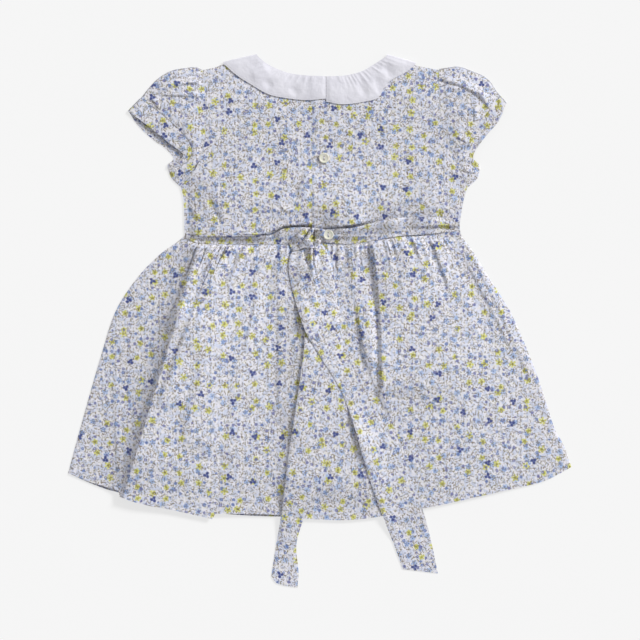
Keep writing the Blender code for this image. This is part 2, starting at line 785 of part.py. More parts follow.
def make_collar(backs):
    """One frill: on the back at both ends, and round both shoulders under the front."""
    rows = 3
    neck_left = [s for s in NECK_BACK if s.x < 0]
    neck_right = [s for s in NECK_BACK if s.x > CENTRE_BACK]
    ends = {
        side: Spot("centre back", CENTRE_BACK + way * SEAM / 2, 229) for side, way in (("left", -1), ("right", 1))
    }
    back_left = Patch(Edge(neck_left + [ends["left"]], backwards=True), Edge(COLLAR_EDGE_LEFT))
    front = Patch(Edge(NECK_FRONT), Edge(COLLAR_EDGE_FRONT))
    back_right = Patch(Edge([ends["right"]] + neck_right, backwards=True), Edge(COLLAR_EDGE_RIGHT))
    under = as_laid(backs["left"], backs["right"])

    def on_the_back(patch, cells):
        """Columns of points over the back bodice, the last or first of them at a shoulder."""
        spots = [[patch.at(i / cells, j / rows) for j in range(rows + 1)] for i in range(cells + 1)]
        heights = [
            [LAYER * 2 + COLLAR_FULLNESS * hump(i / cells, j / rows, 0.3) for j in range(rows + 1)]
            for i in range(cells + 1)
        ]
        heights = settle(heights, spots, under)
        return [[(*s, h + WALL) for s, h in zip(*pair)] for pair in zip(spots, heights)]

    def round_the_shoulder(column):
        """Columns that turn from the back, over the shoulder's fold, to the surface."""
        fold = (Vector(column[-1][:2]) - Vector(column[0][:2])).normalized()
        outward = Vector((-fold.y, fold.x)) * (1 if fold.x > 0 else -1)
        turned = []
        for degrees in (45, 0, -45):
            across, up = math.cos(math.radians(degrees)), math.sin(math.radians(degrees))
            turned.append([])
            for x, y, height in column:
                away = SHOULDER_EASE + height / 2 * across
                turned[-1].append((x + away * outward.x, y + away * outward.y, height / 2 * (1 + up)))
        return turned

    left, right = on_the_back(back_left, 6), on_the_back(back_right, 6)
    front_cells = 14
    middle = [[(*front.at(i / front_cells, j / rows), 0.0) for j in range(rows + 1)] for i in range(front_cells + 1)]
    columns = left + round_the_shoulder(left[-1]) + middle
    columns += round_the_shoulder(right[0])[::-1] + right
    bm = shaped_grid(len(columns) - 1, rows, lambda i, j: columns[i][j])
    face_up(bm)
    collar = new_object("collar", bm, WHITE_COTTON)
    wall = collar.modifiers.new("wall", "SOLIDIFY")
    wall.thickness = WALL * MM
    wall.offset = -1
    return collar


def make_sash(backs):
    """The two sashes, the knot they are tied in, and the two tails that hang from it."""
    panels = [backs["left"], backs["right"], backs["skirt"]]
    sash_left = Patch(Edge(SASH_LEFT_TOP), Edge(SASH_LEFT_FOOT))
    sash_right = Patch(Edge(SASH_RIGHT_TOP), Edge(SASH_RIGHT_FOOT))
    laid_cloth("sash_left", PRINTED_COTTON, sash_left, 12, 2, on=panels)
    band = laid_cloth("sash_right", PRINTED_COTTON, sash_right, 12, 2, on=panels)
    west, east = Edge(TAIL_LEFT_WEST), Edge(TAIL_LEFT_EAST)
    lower = Patch(Straight(west.at(0), east.at(0)), Edge(TAIL_LEFT_END), west, east)
    tail_left = laid_cloth("tail_left", PRINTED_COTTON, lower, 4, 22, on=panels)
    west, east = Edge(TAIL_RIGHT_WEST), Edge(TAIL_RIGHT_EAST)
    upper = Patch(Straight(west.at(0), east.at(0)), Edge(TAIL_RIGHT_END), west, east)
    laid_cloth("tail_right", PRINTED_COTTON, upper, 4, 22, on=panels + [tail_left])
    make_knot(panels)
    return band


def make_knot(panels):
    """A soft lump, from a cube with its corners rounded off by subdivision."""
    swell = 1.25  # a subdivided cube draws in by about a fifth
    under = as_laid(*panels)
    half = [side / 2 for side in KNOT_SIZE]
    shares = [k / 8 for k in range(-5, 6)]
    base = max(
        highest(under, KNOT_AT[0] + a * half[0], KNOT_AT[1] + b * half[1]) for a in shares for b in shares
    )
    bm = bmesh.new()
    bmesh.ops.create_cube(bm, size=2)
    for vertex in bm.verts:
        vertex.co = Vector([swell * side * c for side, c in zip(half, vertex.co)]) * MM
    knot = new_object("sash_knot", bm, PRINTED_COTTON)
    knot.location = Vector((*KNOT_AT, base + half[2])) * MM
    rounding = knot.modifiers.new("rounding", "SUBSURF")
    rounding.levels = rounding.render_levels = 2
    return knot


for old in list(bpy.data.objects):
    bpy.data.objects.remove(old, do_unlink=True)
dress = bpy.data.collections.new("toddler_dress")
cutters = bpy.data.collections.new("cutters")
bpy.context.scene.collection.children.link(dress)
bpy.context.scene.collection.children.link(cutters)

front_pieces = make_fronts()
back_pieces = make_backs(front_pieces)
make_sleeve(
    "left",
    ARMHOLE_LEFT,
    SLEEVE_CAP_LEFT,
    SLEEVE_UNDER_LEFT,
    CUFF_SEAM_LEFT,
    CUFF_SEAM_LEFT_UNDER,
    CUFF_RIM_LEFT,
    CUFF_RIM_LEFT_UNDER,
)
make_sleeve(
    "right",
    ARMHOLE_RIGHT,
    SLEEVE_CAP_RIGHT,
    SLEEVE_UNDER_RIGHT,
    CUFF_SEAM_RIGHT,
    CUFF_SEAM_RIGHT,
    CUFF_RIM_RIGHT,
    CUFF_RIM_RIGHT,
)
make_collar(back_pieces)
waist_band = make_sash(back_pieces)
button("button_middle", IVORY_PLASTIC, 4, 152, on=[back_pieces["left"], back_pieces["right"]])
button("button_waist", IVORY_PLASTIC, 8, 80, on=[back_pieces["right"], waist_band])
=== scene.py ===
# %% [markdown]
# # A toddler's dress, laid flat with its back side up
#
# The real dress is thin printed cotton: a bodice that buttons up the back, two puff sleeves
# in narrow bands, a white frill collar, a gathered skirt, and a sash tied in a knot. Each
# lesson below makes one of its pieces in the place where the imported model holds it, so the
# model is loaded first and nothing here moves it. Three short helpers make the objects and
# meshes that every lesson needs.

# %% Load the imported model
import math

import bpy
import numpy as np
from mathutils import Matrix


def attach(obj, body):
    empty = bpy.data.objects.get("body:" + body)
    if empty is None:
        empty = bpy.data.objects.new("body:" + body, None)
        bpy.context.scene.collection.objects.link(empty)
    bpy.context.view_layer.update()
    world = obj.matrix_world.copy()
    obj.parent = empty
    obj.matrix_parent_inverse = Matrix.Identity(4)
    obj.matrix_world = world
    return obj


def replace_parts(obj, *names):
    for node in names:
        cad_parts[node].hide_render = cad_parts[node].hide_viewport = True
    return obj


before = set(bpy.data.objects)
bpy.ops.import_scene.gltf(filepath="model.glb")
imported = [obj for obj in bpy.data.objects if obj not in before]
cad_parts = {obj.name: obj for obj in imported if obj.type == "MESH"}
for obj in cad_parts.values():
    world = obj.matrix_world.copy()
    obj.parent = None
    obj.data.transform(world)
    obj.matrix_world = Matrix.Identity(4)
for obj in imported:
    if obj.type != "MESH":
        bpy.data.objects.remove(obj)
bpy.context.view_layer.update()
print("nodes:", ", ".join(sorted(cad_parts)))

# %% Objects and meshes
MM = 0.001


def add_object(name, data):
    made = bpy.data.objects.new(name, data)
    bpy.context.scene.collection.objects.link(made)
    return made


def new_mesh(name, points, edges, faces):
    """A mesh from points in millimetres."""
    mesh = bpy.data.meshes.new(name)
    mesh.from_pydata((np.array(points, float) * MM).tolist(), edges, faces)
    return mesh


def plain_mesh(carrier):
    """What an object's modifiers make of it, as a mesh of its own. The object goes."""
    mesh = bpy.data.meshes.new_from_object(carrier.evaluated_get(bpy.context.evaluated_depsgraph_get()))
    bpy.data.objects.remove(carrier)
    return mesh


# %% [markdown]
# ## Camera
#
# A flat garment is looked at from straight above. A long lens far away keeps thick and thin
# places in line, as a stand over a table does. The lens length follows from the width of
# table that the square picture takes in.

# %% Camera
VIEW_WIDTH = 601.6 * MM
VIEW_MIDDLE = (0.235 * MM, 0.094 * MM)
CAMERA_HEIGHT = 3.0

camera_data = bpy.data.cameras.new("overhead")
camera_data.sensor_width = 36.0
camera_data.lens = camera_data.sensor_width * CAMERA_HEIGHT / VIEW_WIDTH
camera = add_object("overhead", camera_data)
camera.location = (*VIEW_MIDDLE, CAMERA_HEIGHT)
bpy.context.scene.camera = camera
print(f"lens {camera_data.lens:.0f} mm")

# %% [markdown]
# ## Outlines
#
# A pattern cutter draws each piece as a few curved lines. These tables name the spots that
# the seams, hems and free edges run through, in millimetres: X across the dress, Y from the
# hem to the neck. A smooth line through a few spots is easier to correct than many points.

# %% Bodice and skirt lines
WAIST = 79.0
PLACKET_EDGE = -7.0
UNDERLAP_EDGE = 20.0
CENTRE_BACK = 6.0

NECK_BACK = [
    (-58.5, 248.2), (-49, 240.5), (-32, 233), (-15, 230), (6, 229), (22, 229.5), (39, 233.5), (52, 241),
    (62.8, 248),
]
NECK_FRONT = [(-58.5, 248.2), (-50, 231), (-32, 212), (4, 202), (38, 212), (55, 231), (62.8, 248)]
SHOULDER_LEFT = [(-110, 235), (-100, 237), (-90, 240.3), (-58.5, 248.2)]
SHOULDER_RIGHT = [(62.8, 248), (89, 239.6), (112, 235)]
ARMHOLE_LEFT = [(-110, 235), (-107, 207), (-107, 179), (-111, 155), (-118, 140), (-131, 126)]
ARMHOLE_RIGHT = [(112, 235), (112, 210), (114, 188), (119, 169), (127, 150), (139, 126)]
BODICE_SIDE_LEFT = [(-131, 126), (-128, 113), (-127, WAIST)]
BODICE_SIDE_RIGHT = [(139, 126), (135, 112), (131.5, 89), (133, WAIST)]
SKIRT_SIDE_LEFT = [
    (-127, WAIST), (-136, 72), (-151, 61), (-172, 39), (-192, 8), (-206, -35), (-221, -87), (-232, -127),
    (-236.5, -144),
]
SKIRT_SIDE_RIGHT = [
    (133, WAIST), (145, 63), (157, 43), (170, 23), (183, 0), (204, -51), (220, -100), (229, -117),
    (236.5, -138),
]
HEM_BACK = [
    [(-236.5, -144), (-213, -153), (-189, -160)],
    [(-187.5, -166), (-166, -173), (-135, -179), (-101, -187)],
    [(-98, -182), (-73, -182), (-37, -183)],
    [(-34, -186), (0, -187.5), (29, -188), (61, -184), (119, -173), (178, -160), (211, -152), (236.5, -139)],
]
HEM_FRONT = [(-236, -144.5), (-211, -155.5), (-186, -163), (-101, -181), (0, -184), (119, -171), (236, -138.5)]

# %% Sleeve, collar and sash lines
SLEEVE_CAP_LEFT = [(-116, 237), (-129, 236), (-141, 233), (-154, 224.5)]
SLEEVE_CAP_RIGHT = [(125, 237), (132, 237), (143, 233), (157, 226)]
SLEEVE_UNDER_LEFT = [(-139, 134)]
SLEEVE_UNDER_RIGHT = [(147.5, 134)]
CUFF_SEAM_LEFT = [(-168, 208), (-150, 195), (-131, 178), (-121, 164), (-121, 154), (-128, 146), (-142, 142)]
CUFF_SEAM_LEFT_UNDER = [
    (-168, 208), (-156, 190), (-140, 175), (-129, 164), (-126, 154), (-131, 146), (-142, 142),
]
CUFF_RIM_LEFT = [(-179.5, 196), (-162, 183), (-141, 166), (-129.5, 157), (-130, 152), (-141.8, 147)]
CUFF_RIM_LEFT_UNDER = [(-179.5, 196), (-171, 183), (-156, 169), (-146, 162), (-137.5, 152.5), (-141.8, 147)]
CUFF_SEAM_RIGHT = [(168, 211), (155, 193), (145, 178), (138, 164), (137, 154), (141.5, 146), (149.2, 141)]
CUFF_RIM_RIGHT = [(175, 203), (168, 187), (157, 174), (148, 162), (144, 153), (149, 146.5)]
COLLAR_EDGE_LEFT = [(5.85, 208), (-11, 206.5), (-29, 208), (-48, 212), (-64, 221), (-78, 230), (-90.5, 241)]
COLLAR_EDGE_RIGHT = [
    (89.8, 240.4), (81, 233), (70, 227), (62, 221), (55, 209), (42, 205), (22, 202.5), (6.15, 205),
]
COLLAR_EDGE_FRONT = [(-90.5, 241), (-80, 220), (-58, 194), (4, 177), (64, 194), (82, 220), (89.8, 240.4)]
SASH_LEFT_TOP = [(-126, 81), (-113, 77.3), (-75, 77.3), (-50, 78.6), (-33, 85.8), (-12, 87.4)]
SASH_LEFT_FOOT = [(-126, 77), (-113, 72.5), (-75, 71.5), (-47, 71.5), (-28, 72), (-14, 75)]
SASH_RIGHT_TOP = [(-2, 85), (8, 84.6), (20, 85.4), (36, 87.6), (57, 93.2), (75, 96), (104, 96.5), (131, 96)]
SASH_RIGHT_FOOT = [(-2, 74), (24, 71.5), (52, 75), (75, 79), (104, 81), (131, 84)]
TAIL_RIGHT_WEST = [
    (-16, 75), (-26, 64), (-29, 52), (-28, 40), (-23, 19), (-14, -9), (-2, -30), (24, -75), (47, -150),
    (60, -186), (70, -212), (78, -234),
]
TAIL_RIGHT_EAST = [
    (-1, 75), (8, 64), (12, 52), (16, 19), (28, -9), (40, -28), (57, -66), (71, -103), (85, -146), (97, -179),
    (104, -205), (111, -238),
]
TAIL_LEFT_WEST = [
    (-15, 75), (-19, 60), (-19, 30), (-14, -14), (-18.6, -56), (-28, -118), (-36, -181), (-41, -211),
    (-45.5, -241),
]
TAIL_LEFT_EAST = [
    (-2, 75), (6, 60), (13, 30), (17, -14), (17, -56), (9, -122), (-4, -160), (-16, -189), (-22, -212),
    (-20, -236), (-21, -251.5),
]
TAIL_LEFT_END = [(-45.5, -241), (-39, -248), (-21, -251.5)]
TAIL_RIGHT_END = [(78, -234), (111, -238)]

# %% [markdown]
# ## Lines, patches and grids
#
# Cloth between four edges can be modelled as a grid whose columns run from the top edge to
# the foot and bend with the two sides. Working on whole grids at once with numpy is quick,
# and the columns fan out from the waist as the threads of a gathered skirt do.


# %% Smooth lines and edges
def smooth_line(spots, steps=16):
    """Points along a smooth line through every spot."""
    spots = np.array(spots, float)
    padded = np.vstack([2 * spots[0] - spots[1], spots, 2 * spots[-1] - spots[-2]])
    t = np.linspace(0, 1, steps, endpoint=False)[:, None]
    runs = [
        0.5 * (2 * b + (c - a) * t + (2 * a - 5 * b + 4 * c - d) * t**2 + (3 * b - a - 3 * c + d) * t**3)
        for a, b, c, d in zip(padded, padded[1:], padded[2:], padded[3:])
    ]
    return np.vstack(runs + [spots[-1:]])


class Edge:
    """A line made of smooth runs, walked by shares from 0 to 1 of its length."""

    def __init__(self, *runs, joints=(), backwards=False, aside=0.0):
        lines = [smooth_line(run) for run in runs]
        self.points = np.vstack(lines)
        gaps = np.linalg.norm(np.diff(self.points, axis=0), axis=1)
        self.shares = np.concatenate([[0], np.cumsum(gaps)]) / gaps.sum()
        ends = np.cumsum([len(line) for line in lines])[:-1]
        if len(joints):
            self.shares = np.interp(self.shares, [0, *self.shares[ends], 1], [0, *joints, 1])
        self.corners = sorted({round(float(self.shares[k]), 5) for end in ends for k in (end - 1, end)})
        if aside:
            run = np.gradient(self.points, axis=0)
            run /= np.linalg.norm(run, axis=1, keepdims=True)
            self.points = self.points + aside * np.stack([-run[:, 1], run[:, 0]], -1)
        if backwards:
            self.points, self.shares = self.points[::-1], 1 - self.shares[::-1]

    def at(self, shares):
        return np.stack([np.interp(shares, self.shares, self.points[:, k]) for k in (0, 1)], -1)


def patch(top, foot, u, v, start=None, end=None):
    """Spots of a grid between four edges: u runs along top and foot, v down the two sides."""
    across, down = u[:, None, None], v[None, :, None]
    spots = top.at(u)[:, None] * (1 - down) + foot.at(u)[:, None] * down
    for side, share, near in ((start, 0.0, (1 - across) ** 2), (end, 1.0, across**2)):
        if side:
            chord = top.at(share) * (1 - v[:, None]) + foot.at(share) * v[:, None]
            spots = spots + (side.at(v) - chord)[None] * near
    return spots


def shares(count, corners=(), crowded=()):
    """Shares from 0 to 1, closer together round each crowded (place, width), and on every corner."""
    fine = np.linspace(0, 1, 4001)
    crowds = (2.0 * np.exp(-(((fine - place) / width) ** 2)) for place, width in crowded)
    density = 1 + sum(crowds, 0 * fine)
    total = np.cumsum(density) - density[0]
    result = np.interp(np.linspace(0, total[-1], count + 1), total, fine)
    free = np.ones(count + 1, bool)
    free[[0, -1]] = False
    for corner in corners:
        nearest = np.where(free, np.abs(result - corner), 2.0).argmin()
        result[nearest] = corner
        free[nearest] = False
    return np.sort(result)


print("smooth line through the back neck:", len(smooth_line(NECK_BACK)), "points")

# %% [markdown]
# ## Folds, gathers and the slight unevenness of worn cotton
#
# A crease or fold is a ridge or trough along a bent line. Its two sides are seldom alike: a
# pleat drops sharply on one side and slopes away on the other. Gathers are many short
# ridges that start at a seam and die out at uneven lengths. Soft lattice noise gives the
# small waves that pressed cotton still has.

# %% Folds
FADE, MOST_FADE = 16, 0.3  # how far a fold dies out at its ends: millimetres, and the largest share


def soft_step(low, high, value):
    """0 below low, 1 above high, and a smooth slope between."""
    t = np.clip((value - low) / (high - low), 0, 1)
    return t * t * (3 - 2 * t)


def fold_heights(folds, spots, samples=49):
    """What the folds add at each spot.

    A fold's row holds its start, bend and end, its rise, its widths to the west and to the
    east, and a power where its crest is flatter than usual. West is the right-hand side of
    someone who walks along it.
    """
    total = np.zeros(spots.shape[:2])
    t = np.linspace(0, 1, samples)[:, None]
    for start, bend, end, rise, west, east, *power in folds:
        line = (1 - t) ** 2 * start + 2 * t * (1 - t) * bend + t**2 * end
        reach = 4 * max(west, east) + 8
        near = np.all((spots > line.min(0) - reach) & (spots < line.max(0) + reach), axis=-1)
        away = spots[near][:, None] - line
        nearest = (away**2).sum(-1).argmin(-1)
        away = away[np.arange(len(nearest)), nearest]
        run = np.gradient(line, axis=0)[nearest]
        length = np.hypot(run[:, 0], run[:, 1])
        aside = (run[:, 0] * away[:, 1] - run[:, 1] * away[:, 0]) / length
        along = (nearest + (run * away).sum(-1) / length**2) / (samples - 1)
        width = np.where(aside > 0, east, west)
        fade = min(MOST_FADE, FADE / np.hypot(*np.diff(line, axis=0).T).sum())
        fading = soft_step(-0.02, fade, along) * soft_step(-0.02, fade, 1 - along)
        flatness = power[0] if power else 2
        total[near] += rise * fading * np.exp(-((np.abs(aside) / width) ** flatness))
    return total


def gathers(across, down, seed, every, rise, length, steep=0.75):
    """Ridges that start at a seam, in millimetres across and down from it, unlike in all their sizes."""
    draw = np.random.default_rng(seed)
    across, down = np.broadcast_arrays(across, down)
    total = np.zeros(across.shape)
    place = across.min() + every * draw.uniform(0.2, 0.8)
    while place < across.max():
        reach = length * draw.uniform(0.35, 1.6)
        width = every * draw.uniform(0.16, 0.34)
        drift = draw.normal(0, 0.035)
        size = rise * draw.uniform(0.35, 1.3)
        aside = across - place - drift * down
        wide = width * (1 + 0.8 * down / reach)
        side = np.where(aside < 0, steep, 2 - steep) * wide
        fading = soft_step(-2, 5, down) * (1 - soft_step(0.25 * reach, reach, down))
        total += size * fading * np.exp(-((aside / side) ** 2))
        place += every * draw.uniform(0.55, 1.5)
    return total


def cockle(spots, size, seed):
    """Soft noise between -1 and 1 that changes over about size millimetres."""
    lattice = np.random.default_rng(seed).uniform(-1, 1, (64, 64))
    spot = spots / size + 32
    cell = np.floor(spot).astype(int)
    part = spot - cell
    x, y = np.moveaxis(part * part * (3 - 2 * part), -1, 0)
    i, j = np.moveaxis(cell % 63, -1, 0)
    low = lattice[i, j] * (1 - x) + lattice[i + 1, j] * x
    high = lattice[i, j + 1] * (1 - x) + lattice[i + 1, j + 1] * x
    return low * (1 - y) + high * y


# %% [markdown]
# ## Laying cloth on cloth
#
# Each new cloth rests on what is already laid, and bridges small steps instead of printing
# them through. Cloth simulation can do this, but a dress pressed flat hardly moves, so a
# quicker way is used: a raster of the height of the pile, over which each new grid is
# stretched like a net until it touches.

# %% The pile
LAYER = 0.6  # one cloth with the air under it, in millimetres
THICK = 0.42  # the cloth alone
PILE_CORNER, PILE_SIZE = (-255, -270), (511, 541)
pile = np.zeros(PILE_SIZE)


def heap(grid, parts=3):
    """Adds a finished cloth's upper side, a grid of points, to the pile."""
    for a in np.arange(parts) / parts:
        for b in np.arange(parts) / parts:
            west = grid[:-1, :-1] * (1 - b) + grid[:-1, 1:] * b
            east = grid[1:, :-1] * (1 - b) + grid[1:, 1:] * b
            point = west * (1 - a) + east * a
            cell = np.rint(point[..., :2] - PILE_CORNER).astype(int)
            i, j = np.moveaxis(np.clip(cell, 0, np.array(PILE_SIZE) - 1), -1, 0)
            np.maximum.at(pile, (i, j), point[..., 2])


def under(spots, reach=1):
    """The height of the pile at each spot and within reach millimetres of it."""
    grown = pile
    for axis in (0, 1) * reach:
        grown = np.maximum(grown, np.maximum(np.roll(grown, 1, axis), np.roll(grown, -1, axis)))
    place = spots - PILE_CORNER
    cell = np.floor(place).astype(int)
    x, y = np.moveaxis(place - cell, -1, 0)
    i, j = np.moveaxis(cell, -1, 0)
    west = grown[i, j] * (1 - y) + grown[i, j + 1] * y
    east = grown[i + 1, j] * (1 - y) + grown[i + 1, j + 1] * y
    return west * (1 - x) + east * x


def evened(heights):
    """Each height as the mean of its neighbours."""
    wide = np.pad(heights, 1, mode="edge")
    return (wide[:-2, 1:-1] + wide[2:, 1:-1] + wide[1:-1, :-2] + wide[1:-1, 2:]) / 4


def laid(spots, relief=0.0, tension=24, reach=1):
    """Heights of a cloth's upper side: stretched over the pile, with its own relief on top."""
    base = under(spots, reach) + LAYER
    heights = base
    for _ in range(tension):
        heights = np.maximum(base, evened(heights))
    return np.maximum(base, heights + relief)


# %% [markdown]
# ## Cloth as a thin shell
#
# Real cotton has a thickness, and it shows at every hem and free edge. A shell is made by
# moving each point of the upper side inward along its normal and joining the two sides at
# the rims. The print and weave read the piece's own UV map, laid in metres, so they keep
# their size on every piece and never slide. On a tube, the map runs on along the lower side.

# %% Shells
SHARP_ANGLE = math.radians(70)


def finished(name, mesh, finish):
    """A piece of the dress in its material, riding on the one body. The slot that comes with the material in
    finish is not used.
    """
    material, slot = finish
    mesh.materials.append(material)
    mesh.shade_smooth()
    mesh.set_sharp_from_angle(angle=SHARP_ANGLE)
    piece = add_object(name, mesh)
    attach(piece, "root")
    triangles = sum(len(face.vertices) - 2 for face in mesh.polygons)
    print(f"{name}: {triangles} triangles, {max(v.co.z for v in mesh.vertices) / MM:.1f} mm high")
    return piece


def shell(name, outer, finish, closed=False, flip=False, turn=0.0, shift=(0.0, 0.0)):
    """A piece from a grid of points in millimetres. A closed grid's last column meets its first."""
    across = np.roll(outer, -1, 0) - np.roll(outer, 1, 0) if closed else np.gradient(outer, axis=0)
    normal = np.cross(np.gradient(outer, axis=1), across) * (-1 if flip else 1)
    normal /= np.maximum(np.linalg.norm(normal, axis=-1, keepdims=True), 1e-9)
    points = np.concatenate([outer, outer - THICK * normal]).reshape(-1, 3)
    deep = len(points) // 2
    index = np.arange(deep).reshape(outer.shape[:2])
    this, after = (index, np.roll(index, -1, 0)) if closed else (index[:-1], index[1:])
    rims = [(this[:, 0], after[:, 0]), (after[:, -1], this[:, -1])]
    if not closed:
        rims += [(index[0, 1:], index[0, :-1]), (index[-1, :-1], index[-1, 1:])]
    faces = np.concatenate([
        np.stack([this[:, :-1], this[:, 1:], after[:, 1:], after[:, :-1]], -1).reshape(-1, 4),
        np.stack([after[:, :-1], after[:, 1:], this[:, 1:], this[:, :-1]], -1).reshape(-1, 4) + deep,
        *[np.stack([a, b, b + deep, a + deep], -1) for a, b in rims],
    ])
    if flip:
        faces = faces[:, ::-1]
    mesh = new_mesh(name, points, [], faces.tolist())
    flat = outer[..., :2].copy()
    if closed:
        middle = len(outer) // 2
        flat[middle:] = 2 * outer[middle, :, :2] - flat[middle:]
    c, s = math.cos(turn), math.sin(turn)
    flat = flat @ np.array([[c, s], [-s, c]]) + shift
    flat = np.concatenate([flat.reshape(-1, 2)] * 2) * MM
    mesh.uv_layers.new(name="cloth").uv.foreach_set("vector", flat[faces.ravel()].ravel())
    return finished(name, mesh, finish)


# %% [markdown]
# ## Writing shader sums in Python
#
# A pattern made of nodes is a long sum. Wrapping a socket in a small class lets the sum be
# written as one, and each operator adds its Math node. Colours are mixed with Mix nodes,
# because a Math node would turn them grey.


# %% Nodes and shader expressions
def feed(tree, socket, value):
    """Brings a link or a plain value to a node's socket."""
    value = getattr(value, "socket", value)
    if isinstance(value, bpy.types.NodeSocket):
        tree.links.new(value, socket)
    else:
        socket.default_value = value


def add_node(tree, kind, settings, sockets):
    """Any node: its settings first, then what its sockets get."""
    made = tree.nodes.new(kind)
    for setting, value in settings.items():
        setattr(made, setting, value)
    for socket, value in sockets.items():
        feed(tree, made.inputs[socket], value)
    return made


def colour(red, green, blue):
    """A linear colour from the usual 0 to 255 screen values."""
    values = [c / 255 for c in (red, green, blue)]
    return (*[c / 12.92 if c <= 0.04045 else ((c + 0.055) / 1.055) ** 2.4 for c in values], 1.0)


def operator(operation, reflected=False):
    def add_math(self, other):
        return self.bench.math(operation, *((other, self) if reflected else (self, other)))

    return add_math


class Value:
    """A shader socket that takes part in Python sums. The | of two masks is the stronger one."""

    __add__ = __radd__ = operator("ADD")
    __mul__ = __rmul__ = operator("MULTIPLY")
    __sub__, __rsub__ = operator("SUBTRACT"), operator("SUBTRACT", reflected=True)
    __or__ = __ror__ = operator("MAXIMUM")
    __lt__, __gt__ = operator("LESS_THAN"), operator("GREATER_THAN")

    def __init__(self, bench, socket):
        self.bench, self.socket = bench, socket


class Bench:
    """A material's node tree, with one method that adds any node."""

    def __init__(self, name):
        self.material = bpy.data.materials.new(name)
        self.material.use_nodes = True
        self.tree = self.material.node_tree
        self.shader = self.tree.nodes["Principled BSDF"]

    def node(self, kind, settings, sockets, outputs=(0,)):
        made = add_node(self.tree, kind, settings, sockets)
        found = [Value(self, made.outputs[output]) for output in outputs]
        return found[0] if len(found) == 1 else found

    def math(self, operation, *values):
        return self.node("ShaderNodeMath", {"operation": operation}, dict(enumerate(values)))

    def vector(self, operation, *values, outputs=(0,)):
        return self.node("ShaderNodeVectorMath", {"operation": operation}, dict(enumerate(values)), outputs)

    def apart(self, vector):
        return self.node("ShaderNodeSeparateXYZ", {}, {0: vector}, (0, 1))

    def soft(self, value, low, high):
        """0 below low, 1 above high, and a smooth slope between."""
        sockets = {"Value": value, "From Min": low, "From Max": high}
        return self.node("ShaderNodeMapRange", {"interpolation_type": "SMOOTHSTEP"}, sockets)

    def mix(self, below, above, factor, blend="MIX"):
        settings = {"data_type": "RGBA", "blend_type": blend}
        return self.node("ShaderNodeMix", settings, {0: factor, 6: below, 7: above}, (2,))

    def noise(self, place, size, detail=2.0, dimensions="2D", output=0):
        sockets = {"Vector": place, "Scale": 1 / size, "Detail": detail}
        return self.node("ShaderNodeTexNoise", {"noise_dimensions": dimensions}, sockets, (output,))

    def cloth_place(self):
        """The place on the cloth in millimetres, from the piece's own UV map."""
        metres = self.node("ShaderNodeUVMap", {"uv_map": "cloth"}, {})
        return self.vector("MULTIPLY", metres, (1000.0, 1000.0, 0.0))

    def object_place(self):
        return self.node("ShaderNodeTexCoord", {}, {}, ("Object",))

    def painted(self, base, roughness, **plain):
        """The material, with its colour and roughness, and plain values on its other sockets."""
        feed(self.tree, self.shader.inputs["Base Color"], base)
        feed(self.tree, self.shader.inputs["Roughness"], roughness)
        for socket, value in plain.items():
            self.shader.inputs[socket.replace("_", " ")].default_value = value
        return self.material


# %% [markdown]
# ## Plain weave
#
# Cotton lawn is a plain weave: each thread passes over one and under the next. Two crossed
# waves, each switched on where the other dips, give that checker of small cushions. It
# drives a Bump node and a slight change of brightness, and thicker threads show here and
# there as slubs.

# %% Weave
THREAD = 0.25  # millimetres from one thread to the next
THREAD_HEIGHT, CRUMPLE_HEIGHT = 0.06 * MM, 0.9 * MM


def weave(bench, place, strength):
    """Brings the weave and soft crumple to the shader's normal, and gives the weave back."""
    uneven = bench.noise(place, 2.5, 3.0, output=1)
    x, y = bench.apart(bench.vector("MULTIPLY_ADD", uneven, (1.2, 1.2, 0.0), place))
    turn = math.pi / THREAD
    checker = bench.math("SINE", x * turn) * bench.math("SINE", y * turn)
    slub = bench.noise(bench.vector("MULTIPLY", place, (0.12, 1.0, 1.0)), 0.5)
    thread = checker * 0.5 + slub
    height = thread * THREAD_HEIGHT + bench.noise(place, 5.0, 3.0) * CRUMPLE_HEIGHT
    bump = bench.node("ShaderNodeBump", {}, {"Strength": strength, "Distance": 1.0, "Height": height})
    feed(bench.tree, bench.shader.inputs["Normal"], bump)
    return thread


# %% [markdown]
# ## The printed cotton
#
# The dress is printed with a small all-over garden: yellow-green stars, light blue
# five-petal flowers, navy clusters, small round berries and thin twigs on a lilac white.
# A picture would do it, but a pattern made of nodes stays sharp at any distance. Each kind
# of motif gets its own scatter of cells from a Voronoi texture, which also gives each cell
# random numbers for its size, its turn and whether it is there at all.

# %% Print
GROUND = colour(226, 225, 234)
CREAM = colour(226, 224, 222)
WASH = colour(206, 213, 235)
TWIG = colour(122, 107, 88)
STEM = colour(130, 122, 84)
BERRY = colour(116, 120, 168)
BERRY_HEART = colour(200, 203, 222)
BLUE = colour(158, 182, 222)
BLUE_HEART = colour(106, 127, 180)
YELLOW = colour(214, 213, 122)
YELLOW_HEART = colour(134, 130, 72)
NAVY = colour(77, 86, 139)
NAVY_HEART = colour(130, 144, 198)


def disc(distance, radius, blur=0.4):
    """1 within radius of a middle, with a soft rim."""
    return distance.bench.soft(radius - distance, -blur / 2, blur / 2)


